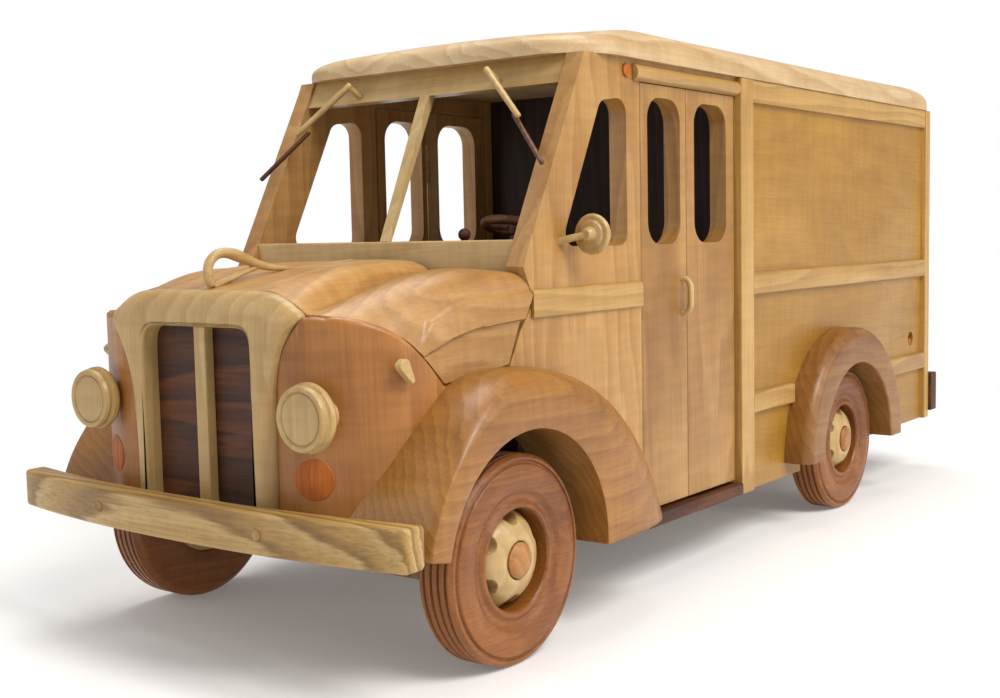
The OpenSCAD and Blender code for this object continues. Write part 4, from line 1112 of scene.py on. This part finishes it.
@dataclass
class Ornament:
    """Carved loop on the hood's front whose tail runs back along the crown as a spear.

    Attributes:
        bar: Radius of the loop's bar in millimetres.
        foot: Radius of the bar that props the loop.
    """

    bar: float = 1.55
    foot: float = 1.25

    def build(self) -> list[bpy.types.Object]:
        """Make the loop and the spear.

        Returns:
            The pieces.
        """
        knots = [(0, -47.6, 115.3), (0, -49.0, 118.6), (0, -48.4, 122.4), (0, -45.2, 125.0),
                 (0, -40.4, 125.2), (0, -34.4, 123.4), (0, -28.6, 121.4), (0, -20.0, 120.0),
                 (0, -6.0, 119.9), (0, 14.0, 121.6)]
        loop = even(through(knots, 160), 150)
        t = np.linspace(0, 1, 150)
        r = self.bar * (0.95 + 0.25 * np.exp(-((t - 0.27) / 0.06) ** 2))
        r = r * (1 - 0.62 * smoothstep((t - 0.34) / 0.3))
        r = r * quarter(np.minimum(t / 0.012, (1 - t) / 0.04))
        made = [place(rod("hood_ornament_loop", loop, r, 20), "hood_ornament", Grain.Y)]
        knots = [(0, -47.8, 115.2), (0, -42, 117.0), (0, -35, 119.2), (0, -28.5, 121.0)]
        low = even(through(knots, 60), 50)
        t = np.linspace(0, 1, 50)
        r = self.foot * (1 - 0.4 * t) * quarter(t / 0.05) + 0.01
        made.append(place(rod("hood_ornament_foot", low, r, 16), "hood_ornament", Grain.Y))
        return made


@dataclass
class Cheek:
    """Carved nose cheek between the grille surround and the fender.

    Attributes:
        side: left or right.
        thick: Thickness of the wall in millimetres.
        arch: Radius of the wheel arch.
        gap: Gap under the hood.
    """

    side: str
    thick: float = 7.0
    arch: float = 40.0
    gap: float = 0.45

    def build(self) -> list[bpy.types.Object]:
        """Make the cheek.

        Columns run round the plan from the surround to the side, rows from the lower edge to the seam.
        The first column leans with the surround's edge, and the lower edge rises over the wheel arch.

        Returns:
            The pieces.
        """
        rows, columns = 72, 120
        plan = nose_plan_curve(600)
        seam = even(through(hood_seam(), 500), 600)
        t = np.linspace(0, 1, rows)[:, None]
        s = np.linspace(0, 1, columns)[None, :]
        rough_z = 40 + t * 68
        edge = np.interp(rough_z, [40, 62, 86, 92.7, 99, 108.2], [31.0, 31.2, 32.8, 34.2, 37.4, 42.6])
        start = np.interp(edge, plan[:, 0], np.arange(600))
        place_at = start + (599 - start) * s
        x = np.interp(place_at, np.arange(600), plan[:, 0])
        y = np.interp(place_at, np.arange(600), plan[:, 1])
        top = np.interp(y, seam[:, 1], seam[:, 2])
        top = np.where(y < -49.5, np.interp(x, seam[:, 0], seam[:, 2]), top) - self.gap
        low = np.maximum(40.0, AXLE_Z + np.sqrt(np.clip(self.arch ** 2 - y ** 2, 0, None)) + 0.1)
        low = np.where(y > -40, low, 40.0)
        z = low + (top - low) * t
        ease = 1.2 * (1 - quarter((top - z) / 1.6))
        way = np.stack([np.gradient(x, axis=1), np.gradient(y, axis=1)], axis=2)
        way /= np.linalg.norm(way, axis=2)[:, :, None] + 1e-9
        out = np.stack([way[:, :, 1], -way[:, :, 0]], axis=2)
        outer = np.stack([x - out[:, :, 0] * ease, y - out[:, :, 1] * ease, z], axis=2)
        inner = np.stack([x - out[:, :, 0] * self.thick, y - out[:, :, 1] * self.thick, z], axis=2)
        inner[:, :, 0] = np.maximum(inner[:, :, 0], 24)
        grid = np.concatenate([outer, inner[::-1]], axis=0)
        grid[:, :, 0] *= SIDES[self.side]
        cheek = grid_object(f"nose_cheek_{self.side}_carved", grid, wrap_u=True, sharp=45)
        close_loop(cheek)
        return [place(cheek, f"nose_cheek_{self.side}", Grain.Z)]


@dataclass
class FrontFender:
    """Carved front fender that sweeps from the bumper over the wheel and back to the door.

    Attributes:
        side: left or right.
        out: Outer face from the middle of the truck in millimetres.
        arch: Radius of the arch.
        root: Radius where the fender meets the body over the wheel.
        face: Depth of the flat face.
        low: Height of its lower end.
        tuck: How far the root draws in ahead of the wheel.
    """

    side: str
    out: float = 84.0
    arch: float = 40.0
    root: float = 57.0
    face: float = 8.0
    low: float = 29.4
    tuck: float = 6.5

    def build(self) -> list[bpy.types.Object]:
        """Make the fender.

        At each angle round the axle the section runs from the arch up the flat face and over to the body: across
        it is the sine of a quarter turn to the power 0.8 and outwards from the axle the cosine to the power 0.8.
        The root's radius grows behind the wheel as 33.6 times the share of the quarter turn to the power 1.75.

        Returns:
            The pieces.
        """
        rows = 150
        plan = nose_plan_curve(600)
        a = np.linspace(math.pi / 2, 0, 34)
        soft = np.linspace(0, 1, 8)
        edge_x = np.concatenate([[0.0], 1 - 0.012 * (1 - soft), np.sin(a[1:]) ** 0.8])
        share = np.concatenate([[0.0], np.zeros(8), np.cos(a[1:]) ** 0.8])
        edge_r = np.concatenate([[0.0], 1.1 * soft, np.zeros(len(a) - 1)])
        end = math.radians(168)

        def root_at(phi: np.ndarray) -> np.ndarray:
            """Radius where the fender meets the body at an angle round the axle."""
            back = np.clip((math.pi / 2 - phi) / math.radians(91), 0, None)
            ahead = smoothstep((phi - 1.75) / 0.75)
            return self.root + 33.6 * back ** 1.75 - self.tuck * ahead

        s = np.linspace(0, 1, rows)[:, None]
        start = np.full((1, len(share)), -0.06)
        for _ in range(6):
            r = self.arch + edge_r + np.where(share > 0, self.face, 0)
            r = r + (root_at(start) - self.arch - self.face) * share
            start = np.arcsin(np.clip((self.low - AXLE_Z) / r, -1, 1))
        phi = start + (end - start) * s
        flat = np.where(share[None] > 0, self.face, 0)
        r = self.arch + edge_r[None] + flat + (root_at(phi) - self.arch - self.face) * share[None]
        y = r * np.cos(phi)
        z = AXLE_Z + r * np.sin(phi)
        base = np.interp(y, plan[:, 1], plan[:, 0], left=40.0, right=HALF_W) - 1.5
        base = np.where(y < -8, base, HALF_W - 0.01)
        x = base + (self.out - base) * edge_x[None]
        bumper = BUMPER_BACK + bumper_sweep(np.clip(x, 0, BUMPER_HALF)) + 0.25
        low_front = (phi > 2.4) & (z < 54.2)
        y = np.where(low_front, np.maximum(y, bumper), y)
        grid = np.stack([x * SIDES[self.side], y, z], axis=2)
        fender = grid_object(f"front_fender_{self.side}_carved", grid, wrap_v=True, sharp=40)
        close_loop(fender)
        return [place(fender, f"front_fender_{self.side}", Grain.Y)]


@dataclass
class RearFender:
    """Half ring over the rear wheel.

    Attributes:
        side: left or right.
        inner: Inner radius in millimetres.
        outer: Outer radius.
        soft: Radius of its outer corner.
    """

    side: str
    inner: float = 39.0
    outer: float = 55.0
    soft: float = 4.5

    def build(self) -> list[bpy.types.Object]:
        """Make the fender.

        Returns:
            The pieces.
        """
        low, high = box_mm(f"rear_fender_{self.side}")
        wide = high[0] - low[0]
        y, z = float((low[1] + high[1]) / 2) - AXLE_Y, low[2]
        section = rounded_path([(self.inner, 0.0, 0.2), (self.outer, 0.0, 0.2),
                                (self.outer, wide, self.soft), (self.inner, wide, 0.9)], 10)
        phi = np.linspace(0, math.pi, 120)[:, None]
        r, h = section[None, :, 0], section[None, :, 1]
        x = np.broadcast_to(SIDES[self.side] * (HALF_W + h), (120, len(section)))
        grid = np.stack([x, y + r * np.cos(phi), z + r * np.sin(phi)], axis=2)
        fender = grid_object(f"rear_fender_{self.side}_sawn", grid, wrap_v=True, caps=True, sharp=35)
        return [place(fender, f"rear_fender_{self.side}", Grain.Y)]


@dataclass
class Bumper:
    """Front bumper: a bar with eased edges whose ends sweep back.

    Attributes:
        tall: Height in millimetres.
        deep: Thickness.
        soft: Radius of its edges.
    """

    tall: float = 12.2
    deep: float = 8.0
    soft: float = 1.3

    def build(self) -> list[bpy.types.Object]:
        """Make the bumper, which sweeps back by a power of the distance from the middle.

        Returns:
            The pieces.
        """
        low, high = box_mm("front_bumper")
        half = high[0]
        z = (low[2] + high[2]) / 2
        t, d, s = self.tall / 2, self.deep, self.soft
        section = rounded_path([(0, -t, s), (d, -t, s), (d, t, s), (0, t, s)], 6)
        run = np.concatenate([np.linspace(-half, -half + s, 7)[:-1], np.linspace(-half + s, half - s, 90),
                              np.linspace(half - s, half, 7)[1:]])
        tight = np.clip((half - np.abs(run)) / s, 0, 1)
        shrink = s * (1 - np.sqrt(1 - (1 - tight) ** 2))[:, None]
        mid = np.array([d / 2, 0.0])
        local = section[None] - mid
        scale = np.stack([(d / 2 - shrink) / (d / 2), (t - shrink) / t], axis=2)
        local = local * scale + mid
        x = np.broadcast_to(run[:, None], local.shape[:2])
        y = low[1] - AXLE_Y + bumper_sweep(np.abs(x)) + local[:, :, 0]
        points = np.stack([x, y, z + local[:, :, 1]], axis=2)
        bar = grid_object("front_bumper_bowed", points, wrap_v=True, caps=True)
        return [place(bar, "front_bumper", Grain.X)]


@dataclass
class Surround:
    """Grille surround: an upturned U whose face rolls over into the hood and the cheeks.

    Attributes:
        deep: Thickness in millimetres.
        roll: Width of the roll-over.
    """

    deep: float = 6.0
    roll: float = 9.0

    def build(self) -> list[bpy.types.Object]:
        """Make the surround.

        Rows run up one leg, over the top and down the other. Across each row the face starts at the back of the
        outer edge, rolls forward as a superellipse of power 2.2 and turns into the opening.

        Returns:
            The pieces.
        """
        outer = through([(31.1, 40), (31.2, 50), (31.3, 62), (31.9, 76), (33.1, 89), (35.4, 97),
                         (39, 103.4), (41.9, 107.4), (38.5, 110), (34, 112.5), (29, 114.0), (22, 114.5),
                         (12, 114.6), (0, 114.6)], 700)
        inner = through([(24.2, 40), (24.2, 60), (24.2, 80), (24.2, 94), (23.9, 99.6), (22.2, 102.6),
                         (19, 103.7), (13, 103.8), (0, 103.8)], 700)
        outer, inner = even(outer, 130), even(inner, 130)
        middle = np.array([-1.0, 1.0])
        outer = np.concatenate([outer, outer[-2::-1] * middle])
        inner = np.concatenate([inner, inner[-2::-1] * middle])
        wide = np.linalg.norm(outer - inner, axis=1)[:, None]
        bend = np.linspace(0, math.pi / 2, 18)
        reach = np.minimum(self.roll, wide * 0.8) / wide
        share = np.concatenate([[0.0], 1 - np.cos(bend)])[None, :] * reach
        depth = np.concatenate([[0.0], 0.04 + 0.96 * np.sin(bend) ** 0.9])
        last = share[:, -1:]
        share = np.concatenate([share, np.linspace(0, 1, 8)[None, 1:-1] * (1 - last) + last], axis=1)
        depth = np.concatenate([depth, np.ones(6)])
        lip = np.linspace(0, math.pi / 2, 6)
        turn = 1 - 1.3 * (1 - np.sin(lip))[None] / wide
        share = np.concatenate([share, turn, np.ones((len(wide), 1))], axis=1)
        depth = np.concatenate([depth, 1 - 0.2 * (1 - np.cos(lip)), [0.0]])
        flat = outer[:, None] + (inner - outer)[:, None] * share[:, :, None]
        crest = np.clip((flat[:, :, 1] - 98) / 16, 0, 1)
        y = -50.0 - self.deep * depth[None] * (1 - 0.10 * crest)
        grid = np.stack([flat[:, :, 0], y, flat[:, :, 1]], axis=2)
        ring = grid_object("grille_surround_carved", grid, wrap_v=True, caps=True, sharp=45)
        return [place(ring, "grille_surround", Grain.Z)]


@dataclass
class Lamps:
    """Turned headlights with a double ring, and the leaf inlaid on each cheek.

    Attributes:
        radius: Radius of a headlight in millimetres.
        turn: Radius of a turn lamp.
    """

    radius: float = 10.0
    turn: float = 6.1

    def build(self) -> list[bpy.types.Object]:
        """Make the headlights and the leaves.

        Returns:
            The pieces.
        """
        made = []
        r = self.radius
        corners = [(0.05, 0.75, 0), (r - 2.9, 0.6, 0.2), (r - 2.6, 1.1, 0.15), (r - 2.3, 0.5, 0.2),
                   (r - 1.9, 0.05, 0.5), (r - 0.9, 0.35, 0.5), (r - 0.5, 1.6, 0.5), (r - 0.95, 2.6, 0.2),
                   (r - 0.1, 3.2, 0.5), (r, 4.6, 0.5), (r - 0.8, 5.8, 0.5), (4.5, 5.8, 0.2),
                   (4.5, 11.5, 0.2), (0.05, 11.5, 0)]
        profile = rounded_path(corners, 5)
        for side, sign in SIDES.items():
            low, high = box_mm("headlights")
            x = sign * (high[0] - r)
            z = (low[2] + high[2]) / 2
            centre = (x, low[1] - AXLE_Y, z)
            lamp = lathe(f"headlight_{side}", profile, centre, (0, 1, 0), 96, 30.0, closed=True)
            made.append(place(lamp, "headlights", Grain.Z))
            disc = rounded_path([(0.05, 0.55, 0), (self.turn, 0.3, 0.35), (self.turn, -4, 0.1),
                                 (0.05, -4, 0)], 5)
            middle = (sign * (HALF_W - 21.3), -51.25, 61.5)
            facing = (sign * 0.351, -0.936, 0)
            turn = lathe(f"turn_lamp_{side}", disc, middle, facing, 64, 35.0, closed=True)
            made.append(place(turn, "turn_lamps", Grain.Z))
        made.append(place(eased_copy("cheek_leaves", 0.25), "cheek_leaves", Grain.Y))
        return made


@dataclass
class Mirrors:
    """Turned door mirrors on slanted pegs.

    Attributes:
        radius: Radius of a mirror in millimetres.
        arm: Radius of its peg.
    """

    radius: float = 6.75
    arm: float = 1.2

    def build(self) -> list[bpy.types.Object]:
        """Make both mirrors.

        Returns:
            The pieces.
        """
        made = []
        r = self.radius
        corners = [(0.05, -1.5, 0), (1.5, -1.5, 0.4), (2.3, -0.3, 0.4), (2.6, 1.2, 0.2),
                   (r - 2.5, 1.3, 0.3), (r - 2.0, 2.0, 0.3), (r - 0.6, 1.8, 0.6), (r, 2.9, 0.6),
                   (r - 0.5, 4.4, 0.6), (r - 2.4, 4.1, 0.4), (0.05, 4.3, 0)]
        for side, sign in SIDES.items():
            root = np.array([sign * (HALF_W - 3), 38.8, 125.9])
            eye = np.array([sign * (HALF_W + 8), 45.0, 128.7])
            path, radius = capsule(root, eye, self.arm, 18)
            arm = rod(f"mirror_arm_{side}", path, radius, 20, up=(0, 0, 1))
            made.append(place(arm, "mirrors", Grain.X))
            profile = rounded_path(corners, 5)
            disc = lathe(f"mirror_disc_{side}", profile, eye, (0, 1, 0), 64, 35, closed=True)
            made.append(place(disc, "mirrors", Grain.Z))
        return made


@dataclass
class Wiper:
    """Wiper: a peg through the header, a light round arm and a dark blade.

    Attributes:
        side: left or right.
        arm: Radius of the arm in millimetres.
        blade: Half width of the blade.
    """

    side: str
    arm: float = 1.2
    blade: float = 0.85

    def build(self) -> list[bpy.types.Object]:
        """Make one wiper. Its own z runs up the windshield, turned back by the pillar's lean.

        Returns:
            The pieces.
        """
        lean = math.atan((55.1 - 20.7) / (185.3 - 119.1))
        pivot = np.array([32.6, 51.5, 182.6])
        sine, cosine = math.sin(lean), math.cos(lean)
        turn = np.array([[1, 0, 0], [0, cosine, sine], [0, -sine, cosine]])
        flip = np.array([SIDES[self.side], 1.0, 1.0])

        def at(*p: float) -> np.ndarray:
            """Place of a point given from the pivot, across, out of and up the windshield."""
            return (pivot + turn @ np.array(p, float)) * flip

        node = f"wiper_{self.side}"
        a, b = math.radians(135), math.radians(138)
        arm = [at(math.sin(a) * k, -4.1, math.cos(a) * k) for k in (-1.5, 27.3)]
        path, radius = capsule(*arm, self.arm, 26, 0.85)
        made = [place(rod(f"{node}_arm", path, radius, 18, up=(0, 1, 0)), node, Grain.Z)]
        path, radius = capsule(at(0, -5.2, 0), at(0, 5.2, 0), 1.2, 18)
        made.append(place(rod(f"{node}_peg", path, radius, 18, up=(1, 0, 0)), node, Grain.Y))
        tip = [at(math.sin(b) * k, -1.95, math.cos(b) * k) for k in (22.2, 48.8)]
        path, radius = capsule(*tip, self.blade, 26)
        blade = rod(f"{node}_blade", path, radius, 16, 1.05, up=(0, 1, 0))
        made.append(place(blade, node, Grain.Z, "dowel_walnut"))
        return made


@dataclass
class SteeringWheel:
    """Steering wheel with three spokes.

    Attributes:
        radius: Radius in millimetres.
        rim: Radius of the rim's bar.
    """

    radius: float = 12.5
    rim: float = 1.7

    def build(self) -> list[bpy.types.Object]:
        """Make the rim, hub and spokes.

        Returns:
            The pieces.
        """
        foot, top = np.array([28, 45, 48.0]), np.array([28, 68, 131.6])
        n = (top - foot) / np.linalg.norm(top - foot)
        a = np.array([1.0, 0.0, 0.0])
        b = np.cross(n, a)
        u = np.linspace(0, 2 * math.pi, 96, endpoint=False)[:, None, None]
        v = np.linspace(0, 2 * math.pi, 20, endpoint=False)[None, :, None]
        way = np.cos(u) * a + np.sin(u) * b
        ring = top + (self.radius - self.rim + self.rim * np.cos(v)) * way + self.rim * np.sin(v) * n
        made = [place(grid_object("steering_rim", ring, True, True), "steering_wheel", Grain.X)]
        hub = rounded_path([(0.05, 1.0, 0), (2.2, 0.9, 0.6), (3, 0, 0.5), (3, -3, 0.4), (1.3, -3, 0.1),
                            (1.3, -13, 0.2), (0.05, -13, 0)], 4)
        made.append(place(lathe("steering_hub", hub, top, n, 48, closed=True), "steering_wheel", Grain.Z))
        for k in range(3):
            angle = math.radians(90 + 120 * k)
            out = math.cos(angle) * a + math.sin(angle) * b
            path, radius = capsule(top + 2 * out - 0.4 * n, top + (self.radius - 2.4) * out - 0.4 * n,
                                   1.0, 14)
            spoke = rod(f"steering_spoke_{k}", path, radius + 0.2, 14, up=tuple(n))
            made.append(place(spoke, "steering_wheel", Grain.X))
        return made


@dataclass
class Handle:
    """Door pull bent like a D.

    Attributes:
        side: left or right.
        bar: Radius of its bar in millimetres.
    """

    side: str
    bar: float = 1.15

    def build(self) -> list[bpy.types.Object]:
        """Make one pull.

        Returns:
            The pieces.
        """
        node = f"door_handle_{self.side}"
        low, high = box_mm(node)
        y = float((low[1] + high[1]) / 2) - AXLE_Y
        z, half = (low[2] + high[2]) / 2, (high[2] - low[2]) / 2 - self.bar
        k = SIDES[self.side]
        w = HALF_W
        path = even(through([(k * (w - 1.5), y, z - half + 0.6), (k * (w + 1.6), y, z - half + 0.3),
                             (k * (w + 3.3), y, z - half * 0.6), (k * (w + 3.45), y, z),
                             (k * (w + 3.3), y, z + half * 0.6), (k * (w + 1.6), y, z + half - 0.3),
                             (k * (w - 1.5), y, z + half - 0.6)], 90), 70)
        t = np.linspace(0, 1, 70)
        radius = self.bar * quarter(np.minimum(t, 1 - t) / 0.03)
        return [place(rod(f"{node}_bent", path, radius, 18, up=(0, 1, 0)), node, Grain.Z)]


@dataclass
class Studio:
    """Camera, soft lights and a pale floor.

    Attributes:
        place: Camera location in metres.
        yaw: Heading of the view, in degrees from +Y towards -X.
        pitch: Elevation of the view in degrees.
        roll: Tilt of the camera in degrees.
        lens: Focal length in millimetres on a 36 mm sensor.
        ambient: Strength of the surround as a light.
        backdrop: Strength of the surround as it is seen.
    """

    place: tuple[float, float, float] = (0.3070, -0.4679, 0.1294)
    yaw: float = 37.39
    pitch: float = -5.04
    roll: float = -1.18
    lens: float = 46.98
    ambient: float = 0.40
    backdrop: float = 1.0

    def build(self) -> None:
        """Set up the camera, the floor and the lights."""
        yaw, pitch, roll = (math.radians(v) for v in (self.yaw, self.pitch, self.roll))
        ahead = Vector((-math.sin(yaw) * math.cos(pitch), math.cos(yaw) * math.cos(pitch), math.sin(pitch)))
        right = Vector((math.cos(yaw), math.sin(yaw), 0.0))
        up = right.cross(ahead)
        across = right * math.cos(roll) + up * math.sin(roll)
        upright = up * math.cos(roll) - right * math.sin(roll)
        data = bpy.data.cameras.new("camera")
        data.lens, data.sensor_width, data.clip_start = self.lens, 36.0, 0.01
        data.dof.use_dof = False
        camera = bpy.data.objects.new("camera", data)
        camera.matrix_world = Matrix((
            (across.x, upright.x, -ahead.x, self.place[0]), (across.y, upright.y, -ahead.y, self.place[1]),
            (across.z, upright.z, -ahead.z, self.place[2]), (0, 0, 0, 1)))
        bpy.context.scene.collection.objects.link(camera)
        bpy.context.scene.camera = camera
        self.floor()
        self.light("key", (0.85, -0.22, 1.0), 0.55, 12.5, (1.0, 0.97, 0.93))
        self.light("fill", (-0.5, -1.0, 0.6), 0.8, 2.4, (1.0, 0.98, 0.97))
        self.light("top", (-0.2, 0.1, 1.15), 0.7, 7.0, (1.0, 0.99, 0.97))
        self.light("side", (1.0, 0.35, 0.45), 0.6, 3.4, (1.0, 0.97, 0.93))
        bpy.context.scene.view_settings.view_transform = "Standard"     # plain colours on a white surround
        world = bpy.data.worlds.new("studio")
        world.use_nodes = True
        tree = world.node_tree
        back = tree.nodes["Background"]
        seen = tree.nodes.new("ShaderNodeLightPath")
        strength = tree.nodes.new("ShaderNodeMapRange")
        tree.links.new(seen.outputs["Is Camera Ray"], strength.inputs[0])
        strength.inputs[3].default_value, strength.inputs[4].default_value = self.ambient, self.backdrop
        tree.links.new(strength.outputs[0], back.inputs["Strength"])
        back.inputs["Color"].default_value = (1.0, 1.0, 1.0, 1.0)
        bpy.context.scene.world = world

    def floor(self) -> None:
        """Lay a pale matt floor under the tyres, which glows softly into the white surround further out."""
        mesh = bpy.data.meshes.new("floor")
        r = 6.0              # half width in metres
        mesh.from_pydata([(-r, -r, 0), (r, -r, 0), (r, r, 0), (-r, r, 0)], [], [(0, 1, 2, 3)])
        floor = bpy.data.objects.new("floor", mesh)
        bpy.context.scene.collection.objects.link(floor)
        g = Graph("pale matt floor")
        matt = g.add("BsdfPrincipled", {"Base Color": linear("#F6F5F4"), "Roughness": 0.9})
        glow = g.add("Emission", {"Color": (1.0, 1.0, 1.0, 1.0), "Strength": 1.0})
        away = g.add("VectorMath", {0: g.add("TexCoord", {}, "Object")}, "Value", operation="LENGTH")
        bounds = {0: away, 1: 0.22, 2: 0.62, 3: 0.12, 4: 1.0}      # distances in metres, then shares
        share = g.add("MapRange", bounds, interpolation_type="SMOOTHSTEP")
        mesh.materials.append(g.finish(g.add("MixShader", {0: share, 1: matt, 2: glow})))

    def light(self, name: str, at: tuple[float, float, float], size: float, power: float,
              colour: tuple[float, float, float]) -> None:
        """Add a soft square light aimed at the middle of the truck.

        Args:
            name: Name of the light.
            at: Its place in metres.
            size: Its width.
            power: Its power in watts.
            colour: Its colour.
        """
        data = bpy.data.lights.new(name, "AREA")
        data.size, data.energy, data.color = size, power, colour
        lamp = bpy.data.objects.new(name, data)
        lamp.location = at
        lamp.rotation_euler = (Vector((0.0, -0.02, 0.08)) - Vector(at)).to_track_quat("-Z", "Y").to_euler()
        bpy.context.scene.collection.objects.link(lamp)


def dress_rest() -> int:
    """Give the CAD nodes that still show their finish.

    Returns:
        How many were dressed.
    """
    count = 0
    for name, obj in frame["nodes"].items():
        if obj.hide_render:
            continue
        obj.data.materials.clear()
        grain = Grain.X if name == "axles" else Grain.Z
        obj.data.materials.append(FINISHES[slot_of(name)].material(name, grain))
        count += 1
    return count


def main() -> None:
    """Build every assembly in order."""
    logging.basicConfig(level=logging.INFO, format="%(message)s")
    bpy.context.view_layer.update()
    assemblies = [Boards(), Caps(), Roof(), Surround(), Hood(), Ornament(), Bumper(), Lamps(), Mirrors(),
                  SteeringWheel()]
    assemblies += [Wheel(end, side) for end in ("front", "rear") for side in SIDES]
    for side in SIDES:
        assemblies += [Cheek(side), FrontFender(side), RearFender(side), Wiper(side), Handle(side)]
    for assembly in assemblies:
        pieces = assembly.build()
        LOG.info("%s: %d pieces", type(assembly).__name__, len(pieces))
    LOG.info("%d CAD nodes dressed as they are", dress_rest())
    Studio().build()


if __name__ == "__main__":
    main()
